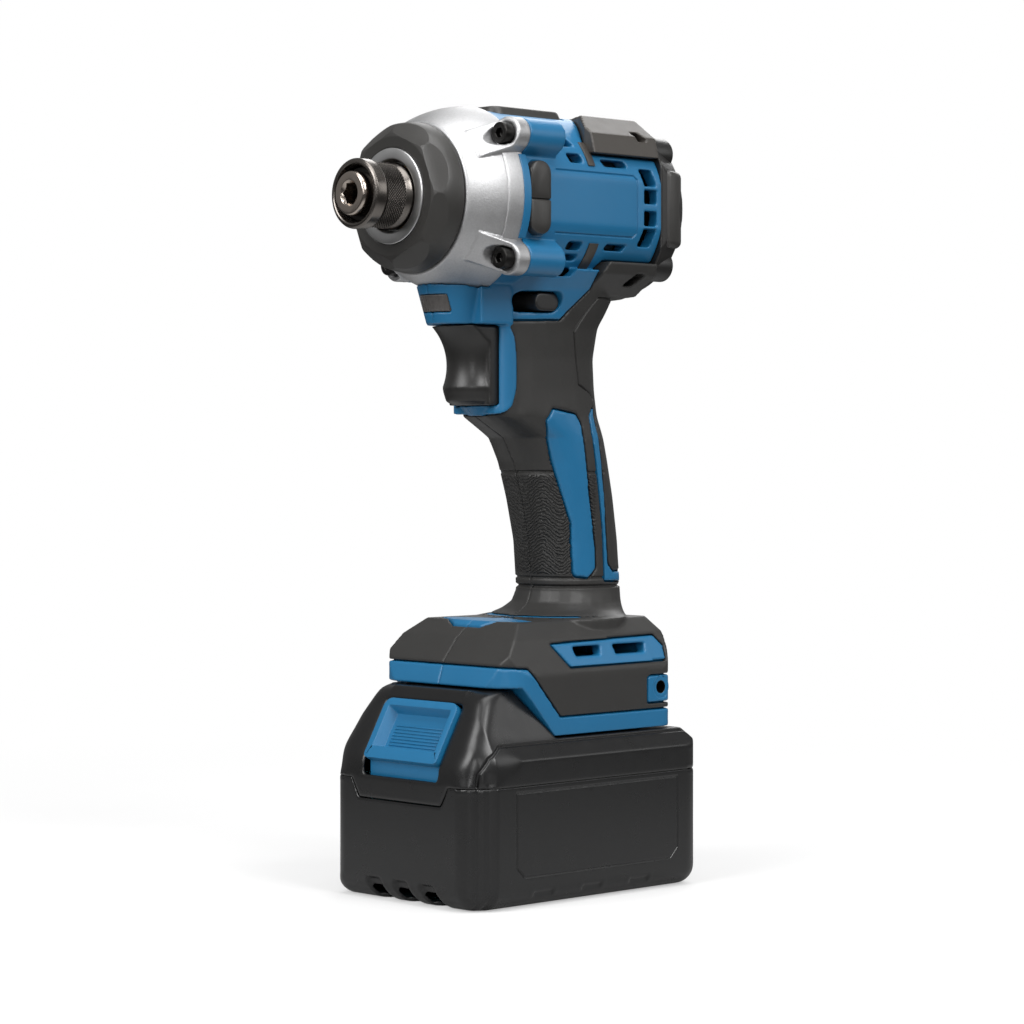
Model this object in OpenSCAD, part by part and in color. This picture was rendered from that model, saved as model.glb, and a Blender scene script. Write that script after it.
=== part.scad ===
// Cordless impact driver with a slide-on battery pack.
// X runs forward to the bit, Y to the user's left and Z up.
// The origin is the middle of the pack's underside.

/* [Battery pack] */
// Length of the pack from front to back
pack_l = 104; // [101:1:112]
// Width of the pack over its side panels
pack_w = 73; // [72:0.5:78]
// Height of the lower case
tub_h = 39; // [38:0.5:44]
// Height of the cover's rear deck above the lower case
deck_h = 13.8; // [12.5:0.1:16]
// Height of the front brow above the deck
brow_h = 16; // [15:0.5:18]
// Distance of the brow's edge behind the front of the pack
brow_back = 13.5; // [13:0.5:15]
// Wall of the battery case
pack_wall = 1.7; // [1.5:0.1:1.9]
// Distance that the side panels stand out
panel_out = 1.6; // [1.2:0.1:1.8]
// Radius of the pack's upright corners
pack_corner = 5.5; // [4:0.5:7]
// Bevel along the pack's lower edges
pack_bevel = 4; // [2:0.5:5]
// Width of the release button
button_w = 35; // [32:0.5:36]
// Length of the button's finger pad along the slope
button_l = 21.5; // [20:0.5:22]
// Travel of the release button
button_travel = 4; // [3:0.5:4]
// Diameter of a battery cell
cell_d = 18.2; // [18:0.1:18.4]

/* [Foot] */
// Gap between the foot and the pack
foot_gap = 0.7; // [0.5:0.1:1]
// Distance of the foot's rear face ahead of the pack's rear face
foot_back_in = 8.8; // [8:0.2:10]
// Length of the foot
foot_l = 78.2; // [77:0.2:80]
// Width of the foot
foot_w = 63; // [62:0.5:65]
// Height of the foot
foot_h = 36.5; // [36:0.5:38]
// Height of the coloured skirt along the foot's lower edge
skirt_h = 6; // [5:0.5:7]
// Distance of the skirt's knee ahead of the pack's middle
knee_fore = 12.5; // [11:0.5:14]
// Angle of the skirt's slanted part
knee_a = 49; // [46:1:52]

/* [Handle] */
// Height of the flare between foot and handle
flare_h = 9; // [8:0.5:10]
// Height of the handle from the flare to the trigger roof
handle_h = 88; // [86:1:94]
// Length of the grip from front to back at its lower end
grip_l = 35; // [34:0.5:37]
// Width of the grip at its lower end
grip_w = 32.5; // [31.5:0.5:34]
// Distance that the grip's back leans forward on the way up
handle_rake = 12.6; // [11:0.2:14]
// Thickness of the rubber cover
skin = 1.8; // [1.4:0.1:2.2]
// Wall of the housing halves
wall = 2.2; // [2:0.1:2.6]

/* [Motor housing] */
// Height of the drive axis above the trigger roof
head_rise = 40.5; // [40:0.5:43]
// Distance of the gear case joint ahead of the grip's lower back edge
head_fore = 66.4; // [65:0.2:68]
// Radius of the motor housing
head_r = 30.3; // [30:0.1:32]
// Width over the flat sides of the motor housing
head_w = 58.6; // [58:0.2:60]
// Length of the motor housing behind the gear case joint
head_l = 64.2; // [63.8:0.2:68]
// Length of the rear cap
cap_l = 12; // [11:0.5:14]
// Thickness of the rear pad
rear_pad_t = 3; // [2:0.5:4]

/* [Gear case] */
// Length of the gear case
case_l = 28.3; // [28:0.1:29]
// Radius of the gear case's bell at the joint
bell_r = 31.3; // [31:0.1:32]
// Radius of the arc that shapes the bell
bell_arc = 45; // [44:0.5:48]
// Radius of the neck that carries the bumper
neck_r = 15.5; // [15.2:0.1:16]
// Radius of the chamber around the hammer
chamber_r = 21; // [20.6:0.1:21.4]
// Sideways distance of the ear screws from the axis
ear_y = 27; // [26.6:0.1:27.4]
// Upright distance of the ear screws from the axis
ear_z = 20; // [19.5:0.1:20.5]
// Radius of an ear
ear_r = 5.5; // [5.2:0.1:5.8]
// Largest radius of the rubber bumper
bumper_r = 24.4; // [24:0.1:25]

/* [Bit holder] */
// Distance that the anvil's tip stands out of the gear case
anvil_out = 20.6; // [20:0.1:22]
// Radius of the anvil's nose
anvil_r = 7.2; // [7:0.1:7.4]
// Distance across the flats of the hex socket
hex_af = 6.45; // [6.4:0.05:6.6]
// Depth of the hex socket
hex_depth = 26; // [24:0.5:27]
// Radius of the sleeve's front lip
sleeve_r = 11.3; // [11:0.1:11.6]
// Length of the sleeve
sleeve_l = 18; // [17.6:0.1:18.2]
// Travel of the sleeve
sleeve_travel = 4; // [3:0.5:4]

/* [Drive] */
// Tooth module of the planet gears
gear_m = 0.7; // [0.68:0.01:0.72]
// Teeth on the sun pinion
sun_teeth = 12; // [12]
// Teeth on a planet gear
planet_teeth = 18; // [18]
// Number of planet gears
planets = 3; // [3]
// Radius of the spindle
spindle_r = 7; // [6.8:0.1:7.2]
// Radius of the hammer
hammer_r = 19.8; // [19.2:0.1:20.2]
// Travel of the hammer against its spring
hammer_travel = 6; // [5:0.5:6]
// Outer radius of the stator
stator_r = 25.4; // [25:0.1:25.6]
// Radius of the rotor
rotor_r = 11.8; // [11:0.1:12]
// Radius of the motor shaft
shaft_r = 2.5; // [2.5]
// Radius of the cooling fan
fan_r = 22; // [20:0.5:23]

/* [Controls] */
// Width of the trigger
trigger_w = 20; // [19:0.5:21]
// Height of the trigger
trigger_h = 26; // [24:0.5:26.5]
// Travel of the trigger
trigger_travel = 7; // [6:0.5:7]
// Length of the direction lever's slot
lever_slot_l = 17.6; // [17:0.2:19]
// Height of the direction lever's slot
lever_slot_h = 6.9; // [6.5:0.1:7.4]
// Sideways travel of the direction lever to each side
lever_travel = 3; // [2.5:0.5:3.5]
// Radius of the belt hook's thread
hook_thread_r = 2; // [2]

/* [Hidden] */
// Overrun of every cutting shape
cut = 1;
// Gap between pieces assembled face to face
slip = 0.2;
// Radial clearance of running fits
run = 0.05;
// Width of the groove around coloured inlays
groove = 0.5;
// Smallest step between faces that must not coincide
film = 0.01;
// Points around a lofted section
ring_points = 28;
// Roundness of the grip's section
grip_power = 2.3;
// Sides of round cuts in moulded shells
round_cut = 24;
// Sides of large moulded rounds
round_big = 72;
$fn = 48;

// Heights
deck_z = tub_h + deck_h;
brow_z = deck_z + brow_h;
foot_z = deck_z + foot_gap;
foot_top = foot_z + foot_h;
handle_z = foot_top + flare_h;
roof_z = handle_z + handle_h;
axis_h = roof_z + head_rise;

// Places along X
pack_front = pack_l / 2;
slope_rise_share = 0.43;
slope_z = tub_h + deck_h * slope_rise_share;
slope_a = atan2(brow_z - slope_z, brow_back);
slope_l = norm([brow_back, brow_z - slope_z]);
foot_back = foot_back_in - pack_front;
foot_front = foot_back + foot_l;
handle_in = 1;
handle_back = foot_back + handle_in;
flange_x = handle_back + head_fore;
head_back = flange_x - head_l;
cap_back = head_back - cap_l;
nose_x = flange_x + case_l;
tip_x = nose_x + anvil_out;
core_w = pack_w - 2 * panel_out;
knee_run = brow_h / tan(knee_a);

// Places children on the drive axis, their Z pointing forward, their X across and their Y up.
module on_axis(x) translate([x, 0, axis_h]) rotate([90, 0, 90]) children();

// Extrudes a side view drawn in X and Z over the width w about the middle plane.
module side_view(w) rotate([90, 0, 0]) linear_extrude(w, center = true) children();

// Extrudes a front view drawn in Y and Z forward from x over the length l.
module front_view(x, l) translate([x, 0, 0]) rotate([90, 0, 90]) linear_extrude(l) children();

// A rectangle from x0 to x1 and y0 to y1 with round corners.
module rounded(x0, x1, y0, y1, r) {
  translate([x0 + r, y0]) square([x1 - x0 - 2 * r, y1 - y0]);
  translate([x0, y0 + r]) square([x1 - x0, y1 - y0 - 2 * r]);
  for (x = [x0 + r, x1 - r], y = [y0 + r, y1 - r]) translate([x, y]) circle(r);
}

// A block between two corners.
module block(a, b) translate(a) cube(b - a);

// A tube between two places along the drive axis.
module tube(x0, x1, r_out, r_in) on_axis(x0) linear_extrude(x1 - x0) ring2d(r_out, r_in);

module ring2d(r_out, r_in) {
  difference() {
    circle(r_out);
    circle(r_in);
  }
}

// A rod between two places along the drive axis.
module rod(x0, x1, r) on_axis(x0) cylinder(x1 - x0, r, r);

// Keeps one half of a moulded shell: side 1 is the left half, side -1 the right half.
module half(side) {
  intersection() {
    children();
    translate([-pack_l, side > 0 ? 0 : -pack_l, 0]) cube([2 * pack_l, pack_l, 2 * axis_h]);
  }
}

// Section of a lofted shape: an oval with flattened sides.
function oval(x0, x1, half_w, power) = let (c = (x0 + x1) / 2, h = (x1 - x0) / 2, e = 2 / power)
  [for (i = [0 : ring_points - 1]) let (a = 360 * i / ring_points, u = cos(a), v = sin(a))
    [c + h * sign(u) * pow(abs(u), e), half_w * sign(v) * pow(abs(v), e)]];

function section(r, inset) = [for (p = oval(r[1] + inset, r[2] - inset, r[3] - inset, r[4])) [p[0], p[1], r[0]]];

// Joins a list of sections [height, back, front, half width, roundness] into one body.
module loft(rings, inset = 0) {
  for (i = [0 : len(rings) - 2]) {
    points = concat(section(rings[i], inset), section(rings[i + 1], inset));
    hull() polyhedron(points, [[for (k = [0 : len(points) - 1]) k]]);
  }
}

// One unbroken wire wound along Z, from z = 0 to l, of mean radius r.
coil_sides = 6;
coil_steps = 8;
function coil_ring(r, w, a, z) = [for (k = [0 : coil_sides - 1]) let (b = 360 * k / coil_sides)
  [(r + w * cos(b)) * cos(a), (r + w * cos(b)) * sin(a), z + w * sin(b)]];
module coil(r, w, turns, l) {
  n = turns * coil_steps;
  points = [for (i = [0 : n]) each coil_ring(r, w, 360 * i / coil_steps, w + (l - 2 * w) * i / n)];
  walls = [for (i = [0 : n - 1], k = [0 : coil_sides - 1]) let (p = i * coil_sides + k,
    q = i * coil_sides + (k + 1) % coil_sides) each [[p, q, q + coil_sides], [p, q + coil_sides, p + coil_sides]]];
  start = [for (k = [0 : coil_sides - 1]) coil_sides - 1 - k];
  end = [for (k = [0 : coil_sides - 1]) n * coil_sides + k];
  echo(coil_self_gap = (l - 2 * w) / turns - 2 * w);
  polyhedron(points, concat(walls, [start, end]), convexity = turns);
}

// Battery pack

// Shares of the pack's height and width that shape its shoulders
shoulder_share = 0.42;
deck_over = 1;
deck_half = foot_w / 2 + deck_over;
brow_half_share = 0.79;
rear_slant_share = 0.45;

module pack_plan(inset) rounded(inset - pack_front, pack_front - inset, inset - core_w / 2, core_w / 2 - inset,
  pack_corner - inset);

// Plan of the raised side panels.
panel_fore_share = 0.86;
panel_back_share = 0.925;
module panel_plan(inset) {
  polygon([
    [-panel_back_share * pack_front - panel_out, 0],
    [-panel_back_share * pack_front - panel_out, core_w / 2 - inset],
    [-panel_back_share * pack_front, pack_w / 2 - inset],
    [panel_fore_share * pack_front, pack_w / 2 - inset],
    [panel_fore_share * pack_front + panel_out, core_w / 2 - inset],
    [panel_fore_share * pack_front + panel_out, -core_w / 2 + inset],
    [panel_fore_share * pack_front, -pack_w / 2 + inset],
    [-panel_back_share * pack_front, -pack_w / 2 + inset],
    [-panel_back_share * pack_front - panel_out, -core_w / 2 + inset]
  ]);
}

// Outline of the lower case with bevelled lower edges, drawn over a half length h.
module tub_outline(h, inset) polygon([
  [-h + inset, tub_h + cut], [-h + inset, pack_bevel], [-h + pack_bevel, inset],
  [h - pack_bevel, inset], [h - inset, pack_bevel], [h - inset, tub_h + cut]
]);

// Tongue of the cover that dips into the lower case at the front
tongue_w = 47;
tongue_drop = 6.2;
tongue_slant = 4;
module tongue(gap, d, over) {
  translate([pack_front - d, 0, 0]) rotate([90, 0, 90]) linear_extrude(d + over) polygon([
    [-tongue_w / 2 - gap, tub_h + cut], [-tongue_w / 2 - gap, tub_h],
    [-tongue_w / 2 + tongue_slant - gap, tub_h - tongue_drop - gap],
    [tongue_w / 2 - tongue_slant + gap, tub_h - tongue_drop - gap],
    [tongue_w / 2 + gap, tub_h], [tongue_w / 2 + gap, tub_h + cut]
  ]);
}

// Grip slots along the lower front edge and notches along the lower side edges
slot_w = 6.4;
slot_d = 1.1;
slot_h = 6.5;
slot_slant = 3.8;
slot_pitch = 12.8;
notch_l = 9;
notch_pitch = 22;
slot_count = 3;
module tub_cuts() {
  for (i = [0 : slot_count - 1]) {
    y = (i - (slot_count - 1) / 2) * slot_pitch;
    intersection() {
      front_view(0, pack_l) polygon([
        [y - slot_w / 2 + slot_slant, -cut], [y + slot_w / 2 + slot_slant, -cut], [y + slot_w / 2, slot_h],
        [y - slot_w / 2, slot_h]
      ]);
      side_view(2 * pack_w) polygon([
        [pack_front - slot_d, slot_h + cut], [pack_front + cut, slot_h + cut], [pack_front + cut, -cut],
        [pack_front - pack_bevel - slot_d * sqrt(2) - cut, -cut],
        [pack_front - slot_d, pack_bevel + slot_d * (sqrt(2) - 1)]
      ]);
    }
    x = (i - (slot_count - 1) / 2) * notch_pitch;
    for (s = [0, 1]) mirror([0, s, 0])
      translate([x - notch_l / 2, pack_w / 2 - slot_d, -cut]) cube([notch_l, slot_d + cut, pack_bevel + cut + slot_d]);
  }
}

module pack_tub() color("#2b2b2b") {
  difference() {
    intersection() {
      union() {
        linear_extrude(tub_h) pack_plan(0);
        linear_extrude(tub_h) panel_plan(0);
      }
      side_view(pack_w + cut) tub_outline(pack_front, 0);
      front_view(-pack_l, 2 * pack_l) tub_outline(pack_w / 2, 0);
    }
    intersection() {
      translate([0, 0, pack_wall]) linear_extrude(tub_h) pack_plan(pack_wall);
      side_view(pack_w + cut) tub_outline(pack_front, pack_wall);
    }
    tongue(slip, pack_wall + cut, cut);
    tub_cuts();
  }
}

// Rail block on the deck that the foot's lips hold
rail_neck = 40;
rail_head = 49;
rail_lip = 3.3;
rail_h = 7.6;
rail_back_in = 4.5;
rail_back = foot_back + rail_back_in;
terminal_y = 12;
terminal_slot = 3.4;
terminal_slot_l = 22;

// Side view of the cover, shrunk by an inset.
module cover_side(inset) polygon([
  [-pack_front + inset, tub_h], [pack_front - inset, tub_h], [pack_front - inset, slope_z - inset * sin(slope_a)],
  [pack_front - brow_back - inset * tan(slope_a / 2), brow_z - inset],
  [knee_fore + knee_run + inset * tan(knee_a / 2), brow_z - inset],
  [knee_fore + inset * tan(knee_a / 2), deck_z - inset],
  [-pack_front + deck_h * rear_slant_share, deck_z - inset],
  [-pack_front + inset, deck_z - deck_h * rear_slant_share]
]);

// Front view of the cover, shrunk by an inset.
module cover_front(inset) polygon([
  for (s = [1, -1], p = s > 0 ? [0, 1, 2, 3] : [3, 2, 1, 0]) [s * ([pack_w / 2, pack_w / 2, deck_half,
    deck_half * brow_half_share][p] - inset), [tub_h, tub_h + deck_h * (1 - shoulder_share), deck_z, brow_z + cut][p]]
]);

module on_slope() translate([pack_front - brow_back, 0, brow_z]) rotate([0, slope_a, 0]) children();

// Release button on the slope: a finger pad, a lower plate and the latch tongue. It moves straight down.
button_top = 5;
button_deep = 6;
button_proud = 0.8;
plate_low_in = 1.2;
plate_h = 10;
plate_t = 2.4;
plate_in = 3;
plate_gap = 0.4;
window_low = 1.4;
latch_w = 12;
latch_t = 3;
latch_bite = 2.5;
latch_z_share = 0.58;
latch_z = deck_z + brow_h * latch_z_share;
latch_fore = 14;
diag_x = knee_fore + (latch_z - deck_z) / tan(knee_a);
spring_fore = 5.5;

module pack_cover() color("#2b2b2b") {
  difference() {
    union() {
      intersection() {
        union() {
          linear_extrude(brow_z + cut) pack_plan(0);
          linear_extrude(brow_z + cut) panel_plan(0);
        }
        side_view(pack_w + cut) cover_side(0);
        front_view(-pack_l, 2 * pack_l) cover_front(0);
      }
      tongue(0, pack_wall, 0);
      // rail block
      translate([rail_back, -rail_neck / 2, deck_z - pack_wall])
        cube([knee_fore + knee_run - rail_back, rail_neck, rail_lip + pack_wall]);
      block([rail_back, -rail_head / 2, deck_z + rail_lip],
        [knee_fore + (rail_h + foot_gap) / tan(knee_a), rail_head / 2, deck_z + rail_h]);
    }
    intersection() {
      linear_extrude(brow_z) pack_plan(pack_wall);
      translate([0, 0, -film]) side_view(pack_w + cut) cover_side(pack_wall);
      front_view(-pack_l, 2 * pack_l) cover_front(pack_wall);
    }
    block([-pack_l, -pack_w, tub_h - tongue_drop - cut], [pack_front - pack_wall, pack_w, tub_h]);
    // window of the button
    intersection() {
      on_slope() translate([button_top - slip, -button_w / 2 - slip, -button_deep])
        cube([2 * slope_l, button_w + 2 * slip, 2 * button_deep]);
      block([0, -button_w, tub_h + window_low], [pack_l, button_w, brow_z]);
    }
    // opening of the latch tongue
    block([knee_fore - cut, -latch_w / 2 - slip, latch_z - latch_t - button_travel],
      [diag_x + latch_fore / 2, latch_w / 2 + slip, latch_z + slip]);
    // slots of the terminals
    for (y = [-terminal_y, terminal_y])
      translate([rail_back - cut, y - terminal_slot / 2, deck_z])
        cube([terminal_slot_l + cut, terminal_slot, rail_h + cut]);
  }
}

// Finger recess with grip ribs
recess_l_share = 0.64;
recess_w_share = 0.8;
recess_d = 2.6;
rib_w = 0.9;
rib_h = 0.6;
rib_count = 5;
arm_l = 6;

module pack_button() color("#2c669c") {
  recess_l = button_l * recess_l_share;
  recess_w = button_w * recess_w_share;
  plate_x = pack_front - pack_wall - plate_gap;
  difference() {
    union() {
      on_slope() translate([button_top, -button_w / 2, -button_deep])
        cube([button_l, button_w, button_deep + button_proud]);
      block([plate_x - plate_t, -button_w / 2 + plate_in, tub_h - plate_low_in],
        [plate_x, button_w / 2 - plate_in, tub_h - plate_low_in + plate_h]);
      block([diag_x - latch_bite, -latch_w / 2, latch_z - latch_t],
        [diag_x + latch_fore + arm_l, latch_w / 2, latch_z]);
    }
    on_slope() translate([button_top + (button_l - recess_l) / 2, -recess_w / 2, button_proud - recess_d])
      cube([recess_l, recess_w, recess_d + cut]);
    // trims the tongue and the plate to the pad's face
    on_slope() translate([-slope_l, -button_w, button_proud]) cube([3 * slope_l, 2 * button_w, slope_l]);
  }
  on_slope() for (i = [0 : rib_count - 1])
    translate([button_top + (button_l - recess_l) / 2 + recess_l * (i + 1) / (rib_count + 1) - rib_w / 2,
      -recess_w / 2, button_proud - recess_d])
      cube([rib_w, recess_w, rib_h]);
}

button_wire = 0.5;
button_coil_r = 3.2;
button_turns = 6;
board_t = 1.6;
board_up = 4;
pack_board_z = tub_h + board_up;

module button_spring() color("#b8bcc0")
  translate([diag_x + spring_fore, 0, pack_board_z + board_t + slip])
    coil(button_coil_r, button_wire, button_turns, latch_z - latch_t - slip - pack_board_z - board_t - slip);

// Cells in two rows of five
cell_pitch_x = 18.6;
cell_pitch_z = 18.6;
cell_rows = 2;
cell_columns = 5;
cell_floor = 0.6;
frame_t = 6;
frame_gap = 0.15;
frame_in = 4;
cell_end = 0.7;
cell_l = core_w - 2 * pack_wall - 2 * cell_end;
function cell_x(i) = (i - (cell_columns - 1) / 2) * cell_pitch_x;
function cell_z(j) = pack_wall + cell_floor + cell_d / 2 + j * cell_pitch_z;

module cells() color("#4a7f8c") for (i = [0 : cell_columns - 1], j = [0 : cell_rows - 1])
  translate([cell_x(i), cell_l / 2, cell_z(j)]) rotate([90, 0, 0]) cylinder(cell_l, cell_d / 2, cell_d / 2);

// Frame that holds the cells at one side; side 1 is the left one.
module cell_frame(side) {
  x_end = cell_x(cell_columns - 1);
  z_low = cell_z(0);
  z_top = cell_z(cell_rows - 1);
  y = side * (cell_l / 2 - frame_in - frame_t / 2);
  difference() {
    translate([0, y, 0]) side_view(frame_t)
      translate([0, 0]) rounded_frame(x_end, z_low, z_top);
    for (i = [0 : cell_columns - 1], j = [0 : cell_rows - 1])
      translate([cell_x(i), y + frame_t, cell_z(j)]) rotate([90, 0, 0])
        cylinder(2 * frame_t, cell_d / 2 + frame_gap, cell_d / 2 + frame_gap);
  }
}

module rounded_frame(x_end, z_low, z_top) {
  translate([-x_end, z_low]) square([2 * x_end, z_top - z_low]);
}

module cell_frame_left() color("#3a3a3a") cell_frame(1);
module cell_frame_right() color("#3a3a3a") cell_frame(-1);

board_l_share = 0.62;
board_w_share = 0.62;
module pack_board() color("#2f6b3c")
  translate([-pack_l * board_l_share / 2, -pack_w * board_w_share / 2, pack_board_z])
    cube([pack_l * board_l_share, pack_w * board_w_share, board_t]);

clip_t = 0.5;
clip_l = 12;
module pack_terminals() color("#c8a24a") for (y = [-terminal_y, terminal_y]) {
  side_gap = slip;
  x0 = rail_back + terminal_slot_l - clip_l - slip;
  difference() {
    block([x0, y - terminal_slot / 2 + side_gap, deck_z + slip],
      [x0 + clip_l, y + terminal_slot / 2 - side_gap, deck_z + rail_h - clip_t]);
    block([x0 - cut, y - terminal_slot / 2 + side_gap + clip_t, deck_z + slip + clip_t],
      [x0 + clip_l + cut, y + terminal_slot / 2 - side_gap - clip_t, deck_z + rail_h + cut]);
  }
}

// Handle, foot and motor housing

// Shares of the handle's height, lean, length and width at its sections
handle_shares = [
  [0, 0, 1, 1], [0.06, 0.02, 1.01, 0.99], [0.19, 0.11, 1.0, 1.0], [0.35, 0.3, 1.02, 1.03],
  [0.49, 0.5, 1.06, 1.04], [0.58, 0.62, 1.15, 1.03], [0.66, 0.75, 1.47, 1.0],
  [0.76, 0.84, 1.46, 0.97], [0.88, 0.9, 1.43, 0.97], [1, 0.74, 1.5, 1.02]
];
function handle_ring(s) = let (b = handle_back + s[1] * handle_rake)
  [handle_z + s[0] * handle_h, b, b + s[2] * grip_l, s[3] * grip_w / 2, grip_power];
handle_rings = [for (s = handle_shares) handle_ring(s)];

// Shares of the rise from the trigger roof to the axis, and of the sizes there, at the neck's sections
neck_shares = [[0.12, 0.48, 1.56, 1.08], [0.3, 0.27, 1.67, 1.3], [0.46, 0.27, 1.69, 1.6]];
neck_rings = concat([handle_rings[len(handle_rings) - 1]], [for (s = neck_shares)
  let (b = handle_back + s[1] * handle_rake)
    [roof_z + s[0] * head_rise, b, b + s[2] * grip_l, s[3] * grip_w / 2, grip_power]]);

// Spread of the flare as shares of its height and of its full spread
flare_spread = 13;
flare_shares = [[0, 1], [0.1, 0.68], [0.27, 0.38], [0.55, 0.12], [1, 0]];
flare_back_share = 0.2;
flare_side_share = 0.75;
function flare_ring(z, spread) = let (r = handle_rings[0]) [z, r[1] + spread * flare_spread * flare_back_share,
  r[2] + spread * flare_spread, r[3] + spread * flare_spread * flare_side_share, grip_power];
flare_rings = concat([flare_ring(foot_top - skin - wall - cut, 1)],
  [for (s = flare_shares) flare_ring(foot_top + s[0] * flare_h, s[1])]);

// Foot: side view, front view and plan
foot_front_top = 15;
foot_front_mid = 8.6;
foot_front_lip = 2.7;
foot_top_in_share = 0.15;
foot_edge_share = 0.86;
foot_band_share = 0.66;
foot_lip_share = 0.46;
foot_rear_in = 3.5;
foot_side_top = 22;
foot_side_edge = 27;
foot_corner = 12;
foot_rear_corner = 4;
foot_low_z = brow_z + foot_gap;

module foot_side() polygon([
  [foot_back, foot_z], [knee_fore, foot_z], [knee_fore + knee_run, foot_low_z], [foot_front, foot_low_z],
  [foot_front - foot_front_lip, foot_z + foot_band_share * foot_h],
  [foot_front - foot_front_mid, foot_z + foot_edge_share * foot_h],
  [foot_front - foot_front_top, foot_top], [foot_back + foot_rear_in, foot_top],
  [foot_back + foot_rear_in * foot_top_in_share, foot_z + foot_edge_share * foot_h],
  [foot_back, foot_z + foot_band_share * foot_h]
]);

module foot_front_view() polygon([
  for (s = [1, -1], p = s > 0 ? [0, 1, 2, 3] : [3, 2, 1, 0]) [s * [foot_w / 2, foot_w / 2, foot_side_edge,
    foot_side_top][p], foot_z + foot_h * [0, foot_lip_share + skirt_h / foot_h / 2, foot_edge_share, 1][p]]
]);

module foot_plan() {
  translate([foot_back + foot_rear_corner, -foot_w / 2])
    square([foot_l - foot_rear_corner - foot_corner, foot_w]);
  translate([foot_back, -foot_w / 2 + foot_rear_corner])
    square([foot_l - foot_corner, foot_w - 2 * foot_rear_corner]);
  translate([foot_back, -foot_w / 2 + foot_corner]) square([foot_l, foot_w - 2 * foot_corner]);
  for (s = [-1, 1]) {
    translate([foot_back + foot_rear_corner, s * (foot_w / 2 - foot_rear_corner)])
      circle(foot_rear_corner, $fn = ring_points);
    translate([foot_front - foot_corner, s * (foot_w / 2 - foot_corner)]) circle(foot_corner, $fn = ring_points);
  }
}

module foot(inset) {
  intersection() {
    side_view(pack_w) offset(delta = -inset) foot_side();
    front_view(-pack_l, 2 * pack_l) offset(delta = -inset) foot_front_view();
    linear_extrude(axis_h) offset(delta = -inset) foot_plan();
  }
}

// Outer skin of handle, flare, neck and foot, shrunk by an inset.
module body_skin(inset) {
  loft(handle_rings, inset);
  loft(neck_rings, inset);
  loft(flare_rings, inset);
  foot(inset);
}

// Section of the motor housing: round with flat sides; the rubber parts of it are faceted.
module head_round(inset) intersection() {
  circle(head_r - inset, $fn = round_big);
  square([head_w - 2 * inset, 2 * head_r], center = true);
}

facet_shares = [[0.978, 0.455], [0.9, 0.76], [0.58, 0.985], [0, 1.01]];
facet_out = 0.5;
facet_order = [0, 1, 2, 3, 2, 1, 0, 0, 1, 2, 3, 2, 1, 0];
module head_facets(inset) polygon([for (i = [0 : len(facet_order) - 1])
  let (s = facet_shares[facet_order[i]], sx = i > 3 && i < 11 ? -1 : 1, sy = i < 7 ? 1 : -1)
    [sx * s[0] * (head_w / 2 + facet_out - inset), sy * s[1] * (head_r - inset)]]);

// Region of the top cover: an outline in plan and a line seen from the side, as shares of the motor housing
top_plan_shares = [[1, 1.2], [0.51, 1.2], [0.51, 0.8], [0.76, 0], [0.51, -0.8], [0.51, -1.2], [1, -1.2]];
top_line_share = 0.53;
function head_point(s) = [flange_x - head_l * s[0], axis_h - head_r * s[1]];
module top_region(grow) intersection() {
  translate([0, 0, axis_h]) linear_extrude(2 * head_r) offset(delta = grow)
    polygon([for (s = top_plan_shares) [flange_x - head_l * s[0], head_w / 2 * s[1]]]);
  side_view(pack_w) offset(delta = grow) polygon([
    head_point([0, -top_line_share]), head_point([2, -top_line_share]), head_point([2, -2]), head_point([0, -2])
  ]);
}

// Region of coloured plastic ahead of and above the rubber grip, seen from the side:
// first as shares of the grip's length and the handle's height, then as shares of the motor housing
paint_shares = [[1.95, 0.661], [1.74, 0.661], [1.66, 0.674], [1.593, 0.7], [1.546, 0.755], [1.537, 0.82],
  [1.545, 0.9], [1.565, 0.955], [1.62, 0.993], [1.68, 1.017], [1.076, 1.022], [0.79, 1.14]];
paint_head_shares = [[0.6, 0.76], [0.645, 0.62], [1.3, 0.62], [1.3, -2], [-1, -2], [-1, 1.9]];
function grip_point(s) = [handle_back + s[0] * grip_l, handle_z + s[1] * handle_h];
module paint_region(grow) side_view(2 * pack_w) offset(delta = grow)
  polygon(concat([for (s = paint_shares) grip_point(s)], [for (s = paint_head_shares) head_point(s)],
    [grip_point([2.6, 0.661])]));

// Coloured skirt along the foot's lower edge
module skirt_region(grow) side_view(2 * pack_w) offset(delta = grow) polygon([
  [foot_back - cut, foot_z - cut], [foot_back - cut, foot_z + skirt_h],
  [knee_fore - skirt_h * tan(knee_a / 2), foot_z + skirt_h],
  [knee_fore + knee_run - skirt_h * tan(knee_a / 2), foot_low_z + skirt_h],
  [foot_front + cut, foot_low_z + skirt_h + cut], [foot_front + cut, foot_z - cut]
]);

// Coloured inlays of the handle and the foot, as shares of their sizes
inlay_shares = [[1.142, 0.689], [0.84, 0.67], [0.779, 0.637], [0.683, 0.382], [0.581, 0.163], [0.572, 0.083],
  [0.655, 0.046], [0.788, 0.051], [0.813, 0.063], [0.856, 0.255], [1.223, 0.642]];
stripe_shares = [[0.523, 0.703], [0.619, 0.66], [0.626, 0.59], [0.565, 0.43], [0.475, 0.189], [0.454, 0.033],
  [0.1, 0.026], [0.1, 0.069], [0.317, 0.069], [0.401, 0.097], [0.467, 0.376], [0.518, 0.617]];
vent_panel_shares = [[0.693, 0.805], [0.07, 0.833], [0.025, 0.731], [0.031, 0.6], [0.606, 0.59]];
hook_panel_shares = [[-0.1, 0.22], [-0.1, 0.475], [0.14, 0.475], [0.156, 0.45], [0.156, 0.22]];
brow_inlay_shares = [[0.76, 0.1], [0.84, 0.62], [0.9, 0.62], [0.985, 0.2], [0.985, -0.2], [0.9, -0.62],
  [0.84, -0.62], [0.76, -0.1]];
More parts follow.
